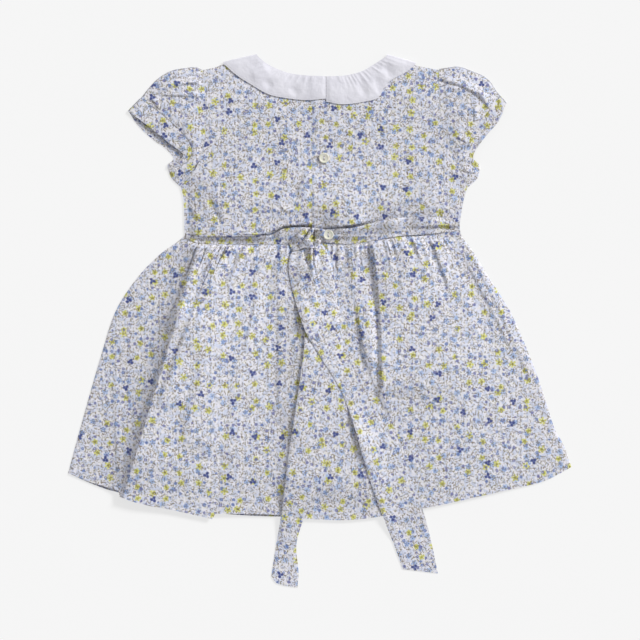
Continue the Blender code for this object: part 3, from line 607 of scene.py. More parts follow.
class Scatter:
    """Cells about pitch millimetres apart, with three chances for each, and what is drawn in them."""

    def __init__(self, bench, place, pitch, offset):
        shifted = bench.vector("ADD", place, (offset, 1.7 * offset, 0.0))
        settings = {"voronoi_dimensions": "2D", "feature": "F1"}
        sockets = {"Vector": shifted, "Scale": 1 / pitch, "Randomness": 0.85}
        middle, chances = bench.node("ShaderNodeTexVoronoi", settings, sockets, ("Position", "Color"))
        away = bench.vector("SUBTRACT", shifted, middle)
        x, y = bench.apart(away)
        self.bench, self.distance = bench, bench.vector("LENGTH", away, outputs=(1,))
        self.first, self.second, self.third = bench.node("ShaderNodeSeparateColor", {}, {0: chances}, (0, 1, 2))
        self.angle = bench.math("ARCTAN2", y, x) + self.third * math.tau

    def nearest_dot(self, count, reach, turn=0.0):
        """How far a place is from the nearest of the dots that stand in a ring round the middle."""
        wedge = math.tau / count
        aside = self.bench.math("FLOORED_MODULO", self.angle + turn, wedge) - wedge / 2
        cosine = self.bench.math("COSINE", aside)
        squared = self.distance * self.distance + reach * reach - self.distance * reach * cosine * 2
        return self.bench.math("SQRT", squared | 0.0)

    def stroke(self, long, wide, bow):
        """1 on a short bent stroke of the brush through the middle."""
        bench = self.bench
        along = self.distance * bench.math("COSINE", self.angle)
        across = self.distance * bench.math("SINE", self.angle) + along * along * bow - bow * 0.3
        body = bench.soft(wide - bench.math("ABSOLUTE", across), -0.12, 0.12)
        return body * bench.soft(long - bench.math("ABSOLUTE", along), -0.2, 0.2)


def printed_cotton():
    bench = Bench("printed_cotton")
    place = bench.cloth_place()
    wobble = bench.noise(place, 1 / 0.6, 1.5, output=1)
    drawn = bench.vector("MULTIPLY_ADD", wobble, (1.7, 1.7, 0.0), place)
    cloth = bench.mix(GROUND, CREAM, bench.soft(bench.noise(place, 3.4), 0.54, 0.64))
    cloth = bench.mix(cloth, WASH, bench.soft(bench.noise(drawn, 5.0, 1.0), 0.46, 0.57) * 0.75)

    flower = Scatter(bench, drawn, 11.0, 57.0)
    petal, here = flower.nearest_dot(5, 1.55 + flower.second * 0.45), flower.first < 0.5
    cloth = bench.mix(cloth, BLUE, (disc(petal, 1.05, 0.7) | disc(flower.distance, 0.9)) * here * 0.85)
    heart = disc(flower.distance, 0.75) | disc(petal, 0.6) * (flower.third > 0.55)
    cloth = bench.mix(cloth, BLUE_HEART, heart * here * 0.85)

    star = Scatter(bench, drawn, 13.5, 211.0)
    ray, here = star.nearest_dot(5, 1.75 + star.second * 0.85), star.first < 0.48
    rays = disc(ray, 0.95 + star.second * 0.2, 0.6) | disc(star.distance, 1.5)
    cloth = bench.mix(cloth, YELLOW, rays * here)
    seeds = disc(star.nearest_dot(4, 0.7, turn=0.5), 0.5, 0.5)
    cloth = bench.mix(cloth, YELLOW_HEART, seeds * here * 0.9)

    for pitch, offset, often, bow in ((2.7, 31.0, 0.7, 0.35), (3.3, 77.0, 0.68, -0.3), (4.1, 19.0, 0.64, 0.2)):
        twig = Scatter(bench, drawn, pitch, offset)
        sprig = twig.stroke(twig.second * 0.9 + 0.7, 0.33, bow) * (twig.first < often)
        wood = bench.mix(TWIG, STEM, twig.third > 0.68)
        cloth = bench.mix(cloth, wood, sprig * (twig.second * 0.35 + 0.58))

    berry = Scatter(bench, drawn, 5.4, 113.0)
    skin = bench.mix(BERRY, BLUE_HEART, berry.third > 0.6)
    ball = disc(berry.distance, berry.second * 0.7 + 0.9, 0.6)
    cloth = bench.mix(cloth, skin, ball * (berry.first < 0.36) * 0.9)
    cloth = bench.mix(cloth, BERRY_HEART, disc(berry.distance, 0.42) * (berry.first < 0.18))

    cluster = Scatter(bench, drawn, 24.0, 401.0)
    fruit, here = cluster.nearest_dot(3, 1.6 + cluster.second * 0.3), cluster.first < 0.38
    cloth = bench.mix(cloth, NAVY_HEART, disc(cluster.distance, 1.5) * here * 0.9)
    cloth = bench.mix(cloth, NAVY, disc(fruit, 1.4, 0.6) * here)

    thread = weave(bench, place, 1.0)
    shade = thread * 0.06 + 0.955
    grey = bench.node("ShaderNodeCombineColor", {}, {0: shade, 1: shade, 2: shade})
    cloth = bench.mix(cloth, grey, 1.0, "MULTIPLY")
    return bench.painted(cloth, 0.88 - thread * 0.08, Sheen_Weight=0.08, Specular_IOR_Level=0.25)


# %% [markdown]
# ## White cotton, thread and button
#
# The collar is the same weave in off-white, a little more open, so its weave shows more.
# Thread is a twisted yarn, drawn as a slanted wave. The buttons are pressed ivory resin:
# smooth, with faint clouds in their colour.


# %% Finishes
def white_cotton():
    bench = Bench("white_cotton")
    place = bench.cloth_place()
    thread = weave(bench, place, 0.55)
    cloud = bench.soft(bench.noise(place, 22.0) + thread * 0.12, 0.35, 0.75)
    cloth = bench.mix(colour(226, 225, 233), colour(219, 218, 227), cloud)
    return bench.painted(cloth, 0.9 - thread * 0.1, Sheen_Weight=0.1, Specular_IOR_Level=0.25)


def sewing_thread(yarn=0.5 * MM):
    bench = Bench("sewing_thread")
    x, y = bench.apart(bench.object_place())
    twist = bench.math("SINE", (x + y) * (math.tau / yarn))
    strand = bench.mix(colour(206, 206, 214), colour(232, 232, 238), twist * 0.5 + 0.5)
    return bench.painted(strand, 0.7 + twist * 0.1)


def ivory_resin():
    bench = Bench("ivory_resin")
    cloud = bench.noise(bench.object_place(), 1 / 260, 3.0, "3D")
    resin = bench.mix(colour(225, 224, 211), colour(215, 213, 198), bench.soft(cloud, 0.35, 0.7))
    return bench.painted(resin, 0.3 + cloud * 0.12, Subsurface_Weight=0.05, Subsurface_Scale=0.002)


PRINTED = (printed_cotton(), "printed_cotton")
WHITE = (white_cotton(), "white_cotton")
SEWN = (sewing_thread(), "white_cotton")
IVORY = (ivory_resin(), "ivory_plastic")
for material, slot in (PRINTED, WHITE, SEWN, IVORY):
    print(f"{material.name}: {len(material.node_tree.nodes)} nodes, for the slot {slot}")

# %% [markdown]
# ## The front panels, face down
#
# The dress lies on its front, so the front bodice and front skirt are the bottom layer.
# They only show past the edges of the back and from low down, so they are plain flat cloth.
# They stop a little inside the side seams, where the back panels turn down over them.

# %% Front bodice and front skirt
EDGE_INSET = 1.3
UNDERARM_SHARE = 0.72
NECK_DROP, NECK_LIFT, NECK_TOP, NECK_SPREAD = 1.2, 0.9, 250, 130
grids = {}  # the upper side of each laid cloth, a grid of points


def lay(name, spots, tops, shift, turn=0.0):
    """Puts a printed cloth on the pile."""
    grids[name] = np.dstack([spots, tops])
    heap(grids[name])
    shell(name, grids[name], PRINTED, turn=turn, shift=shift)


def bodice_sides(inset=0.0):
    """The west and the east side seam with their armholes."""
    return [
        Edge(ARMHOLE_LEFT, BODICE_SIDE_LEFT, joints=[UNDERARM_SHARE], aside=inset),
        Edge(ARMHOLE_RIGHT, BODICE_SIDE_RIGHT, joints=[UNDERARM_SHARE], aside=-inset),
    ]


def straight(left, right):
    """The straight edge between two spots."""
    return Edge([left, right])


def lay_flat_panel(name, top, foot, sides, columns, rows, shift, lift=0.0):
    spots = patch(top, foot, shares(columns), shares(rows), *sides)
    from_neck = np.hypot(spots[..., 0] / NECK_SPREAD, (NECK_TOP - spots[..., 1]) / NECK_SPREAD)
    lay(name, spots, THICK + 0.02 + lift * (1 - soft_step(0.55, 0.95, from_neck)), shift)


neck_front = Edge(SHOULDER_LEFT, NECK_FRONT, SHOULDER_RIGHT)
neck_front.points[:, 1] -= NECK_DROP
sides = bodice_sides(EDGE_INSET)
waist_front = straight(*[side.at(1.0) for side in sides])
lay_flat_panel("front_bodice", neck_front, waist_front, sides, 60, 50, (40, 15), NECK_LIFT)

sides = [Edge(SKIRT_SIDE_LEFT, aside=EDGE_INSET), Edge(SKIRT_SIDE_RIGHT, aside=-EDGE_INSET)]
waist_front = straight(*[side.at(0.0) for side in sides])
lay_flat_panel("front_skirt", waist_front, Edge(HEM_FRONT), sides, 90, 60, (310, 85))

# %% [markdown]
# ## The back bodice
#
# Two panels meet at the back opening. The right one laps over the left, and its free edge
# is the placket that carries the buttons. Both are a little full over the middle, come down
# at the side seams and shoulders, and are pulled in at the waist where the sash is tied.

# %% Back bodice
BODICE_FOLDS = [
    ((-106, 118), (-100, 104), (-90, 86), -1.4, 3, 2.2),  # left waist
    ((-130, 110), (-122, 98), (-110, 90), -0.6, 3, 3),  # left side
    ((130, 110), (120, 101), (108, 95), -2.2, 3, 3.5),  # right waist
    ((-12, 142), (-13, 128), (-23, 114), 1.7, 2.5, 9),  # placket pull
    ((-20, 128), (-22, 121), (-27, 114), -0.8, 3, 2),  # below the pull
    ((-40, 108), (-31, 101), (-24, 99), 1.5, 0.6, 4),  # small v left
    ((-28, 99), (-22, 102), (-17, 109), 0.8, 0.6, 3),  # small v right
    ((-128, 112), (-119, 101), (-112, 92), 1.0, 0.6, 6),  # left waist line
    ((134, 109), (123, 103), (110, 97), 1.6, 5, 0.6),  # right waist line
    ((-46, 108), (-36, 98), (-24, 92), 0.9, 4, 5),  # waist pull left
    ((40, 112), (30, 102), (22, 90), 0.8, 6, 5),  # waist pull right
]
BULGE_LINE = [
    # across, lower edge of the bulge, height of the bulge
    (-127, 81, 0.6), (-113, 77.8, 4.2), (-96, 77.6, 7.4), (-75, 77.8, 8.0), (-50, 79.4, 7.6), (-33, 87.2, 7.4),
    (-12, 88.8, 6.6), (-6, 87.4, 3.0), (4, 86.2, 2.6), (11, 85.8, 5.4), (18, 86.4, 8.0), (34, 88.4, 7.4),
    (42, 90.2, 3.4), (50, 92, 1.2), (60, 94.4, 0.3), (133, 97, 0.0),
]
BULGE_ABOVE = [(-127, 0.6), (-90, 6.6), (-40, 7.2), (16, 7.4), (80, 1.4), (133, 0)]
ARM_LOW, ARM_HIGH = (124, 142), (205, 240)  # where the armhole seam takes over from the side seam
BACK_REST = 1.2  # the upper side of the back where it is pressed on the front
PLACKET_PRESS, PLACKET_RIM = 0.25, 2.5  # how far the placket's free edge is pressed down, and how wide
SEAM_DROP, SEAM_WIDTH = 0.75, 2.4  # the same at the neck and shoulder seams


def side_x(armhole, side, y):
    """Where the armhole and side seam run at each height of the dress."""
    points = Edge(armhole, side).points[::-1]
    return np.interp(y, points[:, 1], points[:, 0])


def bodice_relief(spots):
    """How far the back bodice stands above the front, from its side seams, shoulders and waist."""
    x, y = spots[..., 0], spots[..., 1]
    west, east = side_x(ARMHOLE_LEFT, BODICE_SIDE_LEFT, y), side_x(ARMHOLE_RIGHT, BODICE_SIDE_RIGHT, y)
    inside = np.minimum(x - west, east - x) + 30 * soft_step(*ARM_LOW, y) * (1 - soft_step(*ARM_HIGH, y))
    full = 2.6 * soft_step(0, 34, inside) * soft_step(WAIST + 8, WAIST + 36, y) * (1 - soft_step(205, 246, y))
    across, edge, height = zip(*BULGE_LINE)
    above = y - np.interp(x, across, edge)
    low, high = np.interp(x, across, height), np.interp(x, *zip(*BULGE_ABOVE))
    rising = soft_step(0, 22, above)
    fading = soft_step(0, 1.5, above) * (1 - soft_step(5, 80, above)) * soft_step(0, 12, inside)
    bulge = (low * (1 - rising) + high * rising) * fading
    uneven = (0.5 * cockle(spots, 34, 5) + 0.25 * cockle(spots, 13, 6)) * soft_step(0, 14, inside)
    return full + bulge + uneven + fold_heights(BODICE_FOLDS, spots) * soft_step(0, 10, inside)


def edge_distance(spots, line):
    """How far each spot is from the nearest point of a line."""
    away = [((spots - point) ** 2).sum(-1) for point in line.points[::2]]
    return np.sqrt(np.min(away, axis=0))


def lay_back_bodice(name, top, foot, start, end, shift, placket=0.0):
    spots = patch(top, foot, shares(116), shares(132), start, end)
    tops = np.maximum(laid(spots, tension=10, reach=0) - 0.1, BACK_REST + bodice_relief(spots) + placket)
    if placket:
        tops -= PLACKET_PRESS * (1 - soft_step(0, PLACKET_RIM, spots[..., 0] - spots[:1, :, 0]))
    closing = 1 - soft_step(0, SEAM_WIDTH, edge_distance(spots, top))
    lay(name, spots, tops * (1 - closing) + np.maximum(THICK, tops - SEAM_DROP) * closing, shift)


neck_left = [spot for spot in NECK_BACK if spot[0] < UNDERLAP_EDGE] + [(UNDERLAP_EDGE, 229.5)]
neck_right = [(PLACKET_EDGE, 229.6)] + [spot for spot in NECK_BACK if spot[0] > PLACKET_EDGE]
left, right = bodice_sides()
foot_left = straight(left.at(1.0), (UNDERLAP_EDGE, WAIST))
foot_right = straight((PLACKET_EDGE, WAIST), right.at(1.0))
lay_back_bodice("left_back_bodice", Edge(SHOULDER_LEFT, neck_left), foot_left, left, None, (0, 0))
lay_back_bodice("right_back_bodice", Edge(neck_right, SHOULDER_RIGHT), foot_right, None, right, (71, 37), 0.15)

# %% [markdown]
# ## The back skirt
#
# The skirt is a wide rectangle gathered into the waist seam. Short ridges crowd under the
# seam, a few grow into long folds, and at the left one deep pleat laps over the cloth
# beside it, so the hem steps there. The pleat's west side is steep and throws a shadow.

# %% Skirt
WAIST_SEAM = 260.0  # millimetres
SKIRT_SWELLS = [
    ((-122, 70), (-160, -30), (-216, -220), 2.2, 44, 60),  # beside the pleat
    ((-96, 72), (-106, -35), (-132, -120), 3.0, 15, 55),  # shoulder of the pleat
    ((-90, 60), (-108, -20), (-130, -220), 1.4, 20, 70),  # second swell
    ((-10, 74), (-4, -30), (-20, -170), 5.4, 25, 80),  # under the tails
    ((120, 30), (150, -60), (172, -190), 0.6, 34, 30),  # right swell
    ((-60, 50), (-74, -60), (-80, -210), 0.8, 34, 30),  # left swell
    ((90, 40), (104, -60), (112, -190), 1.4, 22, 64),  # centre swell
]
SKIRT_CREASES = [
    ((-109, 84), (-146, -38), (-214, -260), 5.8, 12, 55),  # left pleat
    ((-130, 16), (-158, -76), (-214, -270), 3.2, 3.0, 34),  # left pleat, low
    ((-106, 86), (-118, 54), (-142, -14), 4.0, 3.0, 11),  # head of the pleat
    ((-193, -48), (-193, -100), (-189, -150), 0.9, 0.8, 6),  # left panel crease
    ((-99, 64), (-117, 4), (-152, -84), 2.4, 3.0, 24),  # second pleat
    ((-114, -24), (-124, -68), (-136, -124), -2.0, 10, 6),  # soft valley
    # gathers
    ((-111, 84), (-119, 58), (-128, 34), -2.6, 0.5, 0.5),
    ((-102, 84), (-108, 62), (-116, 44), -2.4, 0.5, 0.5),
    ((-90, 84), (-95, 64), (-99, 50), -1.6, 0.45, 0.45),
    ((-81, 84), (-90, 64), (-99, 46), -2.2, 0.5, 0.5),
    ((-98, 60), (-105, 44), (-115, 22), -2.0, 0.5, 0.5),
    ((-74, 84), (-77, 66), (-83, 46), -1.6, 0.45, 0.45),
    ((-62, 84), (-64, 62), (-67, 42), -1.2, 0.45, 0.45),
    ((-104, 84), (-112, 60), (-124, 30), -1.0, 7, 9),  # deep gathers
    # gathers
    ((24, 84), (24, 64), (25, 50), -2.0, 0.5, 0.5),
    ((38, 66), (39, 56), (38, 42), -1.8, 0.5, 0.5),
    ((44, 84), (46, 66), (48, 50), -2.0, 0.5, 0.5),
    ((49, 58), (50, 44), (53, 26), -2.0, 0.5, 0.5),
    ((14, 66), (15, 56), (14, 44), -1.6, 0.5, 0.5),
    ((-57, 30), (-65, -2), (-72, -32), 1.8, 0.8, 12),  # left crease
    ((-39, 36), (-39, -28), (-39, -90), 1.2, 0.7, 10),  # straight crease
    ((-82, -40), (-92, -120), (-101, -192), -0.8, 8, 4),  # pleat end
    ((-28, 68), (-30, 34), (-20, -10), 2.2, 13, 10),  # beside the knot
    ((-30, 50), (-34, -20), (-40, -180), -0.8, 12, 8),  # tail hollow
    ((38, -100), (54, -150), (62, -200), 1.8, 14, 12),  # under the corner
    ((48, 80), (61, 6), (58, -74), 4.6, 2.2, 60),  # centre valley
    ((72, 84), (69, 44), (66, 6), 1.8, 11, 40),  # east of the valley
    ((45, 30), (47, -10), (52, -50), 1.2, 4, 4),  # centre pleat
    ((35.4, 22), (38, -20), (47, -47), 2.2, 1.7, 16, 4),  # dark lens
    ((36, 6), (40, -34), (62, -82), 1.2, 0.6, 8),  # below the lens
    ((104, 78), (112, 56), (124, 22), 2.4, 0.9, 7),  # right crease
    ((77, 50), (76, 38), (75, 22), 1.0, 0.8, 8),  # short crease
    ((134, 60), (148, 20), (164, -34), -1.4, 7, 7),  # side hollow
    ((142, 62), (168, 14), (200, -62), 4.4, 0.8, 12),  # side roll
    ((136, 58), (156, 22), (186, -40), 3.2, 0.8, 10),  # side roll, inner
    ((147, -104), (154, -120), (163, -142), 0.6, 1.0, 8),  # low crease
]
PLEAT_LINE = [(-109, 84), (-129.4, 16.8), (-153.8, -63), (-181.9, -155), (-214, -260)]
PANEL_FULL, LAPPED_FULL = 0.5, 3.0  # how far the cloth stands up beside the pleat and over it
SKIRT_REST = 1.3


def skirt_relief(u, v, spots):
    """The height of the back skirt above the front one. It is pressed low under the sash."""
    across, (x, y) = u[:, None] * WAIST_SEAM, np.moveaxis(spots, -1, 0)
    down = np.minimum(np.interp(x, *zip(*SASH_LEFT_FOOT, *SASH_RIGHT_FOOT)), WAIST) - y
    sides = (soft_step(0, 0.1, u) * soft_step(0, 0.2, 1 - u) ** 0.45)[:, None]
    small = gathers(across, down, seed=11, every=3.9, rise=2.0, length=32, steep=1.2)
    small = small * (1.1 - 0.3 * soft_step(-70, -30, x))
    long = gathers(across, down, seed=23, every=17.0, rise=1.5, length=120)
    waves = 0.5 * cockle(spots, 42, 3) + 0.22 * cockle(spots, 15, 4)
    lap_x, lap_y = zip(*PLEAT_LINE[::-1])
    lapped = soft_step(-1.2, 1.2, x - np.interp(y, lap_y, lap_x)) * (1 - 0.7 * soft_step(40, 210, x))
    full = PANEL_FULL + LAPPED_FULL * lapped * (0.45 + 0.55 * soft_step(0, 90, down))
    hem = 1 - 0.5 * soft_step(0.82, 1.0, v)[None, :]
    swelling = (full + waves + fold_heights(SKIRT_SWELLS, spots)) * soft_step(-4, 125, down)
    creased = (small + long + fold_heights(SKIRT_CREASES, spots)) * soft_step(-2, 5, down)
    return sides * hem * (swelling + creased)


left, right, hem_back = Edge(SKIRT_SIDE_LEFT), Edge(SKIRT_SIDE_RIGHT), Edge(*HEM_BACK)
u, v = shares(380, hem_back.corners, crowded=[(0.10, 0.012), (0.14, 0.08)]), shares(124)
spots = patch(straight(left.at(0.0), right.at(0.0)), hem_back, u, v, left, right)
tops = np.maximum(laid(spots, tension=6), SKIRT_REST + skirt_relief(u, v, spots))
tops[[0, -1]] = THICK + 0.03
lay("back_skirt", spots, tops, (190, 55))

# %% [markdown]
# ## Puff sleeves and their bands
#
# A sleeve is a tube that lies pressed flat, with a soft fold at its shoulder and underarm
# sides. Its head is gathered into the armhole and its foot into a narrow band. The tube is
# built as a closed loop of columns: over the top, round the fold, back underneath.

# %% Sleeve and band tubes
FOLD_HEIGHT, PUFF_HEIGHT, PUFF_MIDDLE = 1.1, 2.8, 0.9
SLEEVE_LENGTH, SLEEVE_REST, SLEEVE_LEAST = 44, 1.3, 1.2
BAND_REST, BAND_HEIGHT, BAND_LEAST = 2.2, 1.4, 2.0
SLEEVE_FOLDS = {
    "left": [
        ((-106, 224), (-134, 224), (-156, 211), 2.0, 5, 0.6),  # cap crease
        ((-104, 208.5), (-126, 212), (-154, 211), 1.8, 4, 0.6),  # second cap crease
        ((-110, 221.5), (-118, 222), (-125, 223), 1.2, 2.5, 0.5),  # short crease
        # gathers
        ((-102, 232), (-112, 232), (-126, 230), 1.3, 2.0, 0.5),
        ((-102, 227), (-114, 227), (-128, 225), 1.3, 2.0, 0.5),
        ((-158, 209), (-155, 204), (-150, 197), 1.2, 0.6, 4),  # soft crease
        ((-110, 152), (-119, 139), (-138, 128), -3.0, 0.9, 0.9),  # underarm tuck
    ],
    "right": [
        ((106, 227), (136, 223), (158, 205), 2.4, 0.5, 5),  # cap crease
        ((147, 217), (154, 208), (160, 197), 2.0, 0.6, 5),  # band crease
        ((116, 211), (121, 211), (127, 209), 1.0, 0.5, 3),  # short crease
        ((145, 203), (146, 194), (145, 183), 1.2, 0.5, 4),  # elbow crease
        ((127, 173), (133, 169.5), (140, 166), 1.2, 0.6, 3),  # pinch
        ((131, 141), (140, 139), (150, 138), 1.2, 0.6, 3),  # underarm crease
        ((133, 151), (140, 151), (148, 150), 0.9, 0.6, 3),  # second underarm crease
    ],
}


def round_fold(column, out, high, ways, ahead=0.0):
    """Columns that turn round a fold, each by its cosine and sine from the level."""
    half = high / 2
    return [np.column_stack([column + out * (ahead + half * c)[:, None], half * (1 + s)]) for c, s in ways]


def tube(above, below, tops):
    """A closed loop of columns: over the top, round the last fold, back below, round the first."""
    def side(edge, inward, high):
        out = edge - inward
        out /= np.maximum(np.linalg.norm(out, axis=-1, keepdims=True), 1e-9)
        return round_fold(edge, out, high, ((0.71, 0.71), (1.0, 0.0), (0.71, -0.71)))

    over, beneath = np.dstack([above, tops]), np.dstack([below, 0 * tops])[::-1]
    last, first = side(above[-1], above[-2], tops[-1]), side(above[0], above[1], tops[0])
    return np.concatenate([over, last, beneath, first[::-1]])


def lay_tube(name, above, below, tops, shift):
    grids[name] = np.dstack([above, tops])
    heap(grids[name])
    shell(name, tube(above, below, tops), PRINTED, closed=True, shift=shift)


def make_sleeve(side, armhole, cap, underarm, seams, rims, shift):
    outward = 1 if side == "left" else -1
    hole = Edge(armhole, aside=-outward * 0.4)
    cap = Edge([tuple(hole.at(0.0)), *cap, seams[0][0]])
    underarm = Edge([tuple(hole.at(1.0)), *underarm, seams[0][-1]])
    u, v = shares(130), shares(84)
    above, below = (patch(hole, Edge(seam), u, v, cap, underarm) for seam in seams)
    along, across = v[None, :], u[:, None]
    puffed = FOLD_HEIGHT + np.sin(np.pi * across) ** 0.6 * (PUFF_HEIGHT + PUFF_MIDDLE * np.sin(np.pi * along))
    wide = across * np.linalg.norm(np.diff(hole.at(u), axis=0), axis=1).sum()
    head = gathers(wide, SLEEVE_LENGTH * along, seed=7, every=5.0, rise=1.5, length=17)
    head = head * (1 - soft_step(0.5, 0.72, across))
    foot = gathers(wide, SLEEVE_LENGTH * (1 - along), seed=8, every=4.4, rise=0.35, length=13)
    inside = soft_step(0, 0.06, across) * soft_step(0, 0.06, 1 - across)
    puffed = puffed + inside * (head + foot + 0.4 * cockle(above, 14, 9))
    joined = SLEEVE_REST + 0.9 * (under(above[:, :1], 1) - SLEEVE_REST)
    joining = soft_step(-0.02, 0.4, along)
    tops = joined * (1 - joining) + puffed * joining + inside * fold_heights(SLEEVE_FOLDS[side], above)
    tops = np.maximum(tops, SLEEVE_LEAST)
    lay_tube(f"{side}_sleeve", above, below, tops, shift)

    seam_tops = evened(tops)[:, -1]
    u, v = shares(60), shares(12)
    along, across = v[None, :], u[:, None]
    above, below = (patch(Edge(seam, aside=-outward * 0.3), Edge(rim), u, v) for seam, rim in zip(seams, rims))
    band = BAND_REST + BAND_HEIGHT * np.sin(np.pi * across) ** 0.6 * (1 - 0.25 * along)
    band = band + 0.15 * cockle(above, 9, 10)
    joined = np.maximum(np.interp(u, shares(130), seam_tops)[:, None] - 0.3, BAND_LEAST)
    joining = soft_step(-0.02, 0.6, along)
    lay_tube(f"{side}_band", above, below, joined * (1 - joining) + band * joining, shift[::-1])


make_sleeve(
    "left", ARMHOLE_LEFT, SLEEVE_CAP_LEFT, SLEEVE_UNDER_LEFT,
    (CUFF_SEAM_LEFT, CUFF_SEAM_LEFT_UNDER), (CUFF_RIM_LEFT, CUFF_RIM_LEFT_UNDER), (23, 61),
)
make_sleeve(
    "right", ARMHOLE_RIGHT, SLEEVE_CAP_RIGHT, SLEEVE_UNDER_RIGHT,
    (CUFF_SEAM_RIGHT, CUFF_SEAM_RIGHT), (CUFF_RIM_RIGHT, CUFF_RIM_RIGHT), (97, 12),
)

# %% [markdown]
# ## The frill collar
#
# One strip of white cotton is gathered into the neck seam. It lies on the back at both
# sides of the opening, turns round each shoulder and lies under the front. Its outer edge
# is hemmed and a little longer than its neck edge, so it ripples.

# %% Collar
FRILL_ROWS, FRILL_LENGTH, FRILL_WIDTH, FRILL_GAP = 30, 120, 44, 0.15
COLLAR_FOLDS = [
    ((-47, 239), (-56, 232), (-66, 227), 1.0, 5, 7),  # left ripple 1
    ((-52, 226), (-48, 222), (-44, 218), -1.0, 4, 4),  # left ripple 2
    ((-28, 220), (-24, 215), (-20, 210), -0.9, 3, 4),  # left ripple 3
    ((58, 240), (66, 233), (68, 226), -1.2, 3, 5),  # right ripple 1
    ((35, 226), (40, 218), (43, 208), -0.9, 3, 4),  # right ripple 2
    ((52, 229), (55, 220), (57, 211), -1.0, 3, 4),  # right ripple 3
]


def collar_half(name, neck, edge, seed):
    u, v = shares(90), shares(FRILL_ROWS)
    spots = patch(Edge(neck, backwards=True), Edge(edge), u, v)
    ripples = gathers(FRILL_LENGTH * u[:, None], FRILL_WIDTH * v[None, :], seed, every=7.0, rise=0.8, length=26)
    wave = 0.9 * soft_step(0.2, 1.0, v)[None, :] * (1 + cockle(spots, 17, seed)) / 2
    relief = 0.2 + 0.8 * np.sin(np.pi * v)[None, :] + 0.55 * (ripples + wave)
    relief = relief + fold_heights(COLLAR_FOLDS, spots)
    ends = soft_step(0, 0.05, np.minimum(u, 1 - u))[:, None]
    grids[name] = np.dstack([spots, laid(spots, relief * (0.3 + 0.7 * ends), tension=12)])
    return grids[name]


def shoulder_turn(column):
    """Columns that turn from the back over the shoulder's fold to the surface."""
    spots, high = column[:, :2], column[:, 2]
    fold = (spots[-1] - spots[0]) / np.linalg.norm(spots[-1] - spots[0])
    out = np.array([-fold[1], fold[0]]) * (1 if fold[0] > 0 else -1)
    ways = [(math.cos(angle), math.sin(angle)) for angle in map(math.radians, (65, 40, 15, -15, -40, -65))]
    return round_fold(spots, out, high, ways, ahead=0.6)


neck_left = [spot for spot in NECK_BACK if spot[0] < 0] + [(CENTRE_BACK - FRILL_GAP, 229)]
neck_right = [(CENTRE_BACK + FRILL_GAP, 229)] + [spot for spot in NECK_BACK if spot[0] > CENTRE_BACK]
left = collar_half("left_frill", neck_left, COLLAR_EDGE_LEFT, 31)
right = collar_half("right_frill", neck_right, COLLAR_EDGE_RIGHT, 32)
front = patch(Edge(NECK_FRONT), Edge(COLLAR_EDGE_FRONT), shares(100), shares(FRILL_ROWS))
front = np.dstack([front, 0 * front[..., 0]])
heap(left)
heap(right)
loop = np.concatenate([left, shoulder_turn(left[-1]), front, shoulder_turn(right[0])[::-1], right])
shell("frill_collar", loop, WHITE, flip=True)

# %% [markdown]
# ## Sash, tails and knot
#
# The sash is two long bands, sewn into the side seams and tied at the back. Each is folded
# in on itself where it is pulled tight, and spreads to its full width in its free tail. The
# left tail lies under the right one.

# %% Sashes and tails
PRESSED_RIM = 0.3
SASH_FOLDS = [
    ((146, 88.5), (112, 89), (80, 88), 2.8, 11, 0.8),  # upper half
    ((-46, 81), (-34, 88), (-4, 88.4), 4.2, 8, 3),  # gripped left edge
    ((-8, 84.5), (34, 83), (82, 97), 6.4, 7.5, 2.5),  # gripped right edge
    ((50, 92), (84, 97), (120, 97), 2.4, 14, 2.5),  # sloping on
    ((133, 86), (124, 85), (113, 88), -1.0, 0.8, 1.5),  # end crease
]
TAIL_RIGHT_FOLDS = [
    ((-9, 100), (-10, 70), (-6, 30), 2.4, 16, 30),  # tent under the knot
    ((-9, 70), (-9, 30), (0, -10), 0.8, 16, 40),  # below the tent
    ((-24, 22), (-19, 0), (-8, -24), 2.2, 2.5, 20),  # crossing
    ((22, -82), (33, -106), (43, -136), 3.4, 2.5, 12),  # lifted corner
    ((34, -122), (46, -150), (58, -184), 0.4, 4, 12),  # lifted lower edge
    ((52, -168), (64, -200), (76, -236), 0.5, 3, 10),  # hanging edge
    ((-6, 72), (-10, 40), (-4, 6), 1.4, 4, 5),  # upper middle
    ((-5.5, 80), (-6.4, 62), (-6.6, 40), -2.2, 0.8, 0.8),  # upper line
    ((-6, 72), (-9.5, 60), (-8, 50), 2.6, 2.5, 6),  # rim of the pocket
]
POCKET = [((-13, 69), (-17, 60.5), (-10.5, 50), -4.2, 0.5, 6)]
TAIL_LEFT_FOLDS = [
    ((-14, 10), (-17, -40), (-27, -120), 1.6, 5, 20),  # raised west edge
    ((-22, -80), (-34, -150), (-42, -214), 0.8, 4, 10),  # lower west edge
    ((-30, -170), (-30, -200), (-34, -236), -1.2, 4, 4),  # twist
]


def walked(grid, axis):
    """How far each spot is along the cloth from the first one of its row or column."""
    steps = np.linalg.norm(np.diff(grid[..., :2], axis=axis), axis=-1)
    return np.cumsum(np.concatenate([0 * steps.take([0], axis), steps], axis), axis)


def lay_band(name, spots, folds, shift, turn, full=0.12, tension=12, reach=1, steepest=9.0, hollows=()):
    """Lays a band, which drops over a step no faster than steepest, and only then gets its hollows."""
    tops = laid(spots, full * (1 + cockle(spots, 20, 17)) + fold_heights(folds, spots), tension, reach)
    across = walked(spots, 0)
    tops = tops - PRESSED_RIM * (1 - soft_step(0, 3, np.minimum(across, across[-1] - across)))
    drops = steepest * np.linalg.norm(np.diff(spots, axis=1), axis=-1)
    for row in range(1, tops.shape[1]):
        tops[:, row] = np.maximum(tops[:, row], tops[:, row - 1] - drops[:, row - 1])
    if hollows:
        tops = np.maximum(tops + fold_heights(hollows, spots), under(spots, reach) + LAYER)
    lay(name, spots, tops, shift, turn)


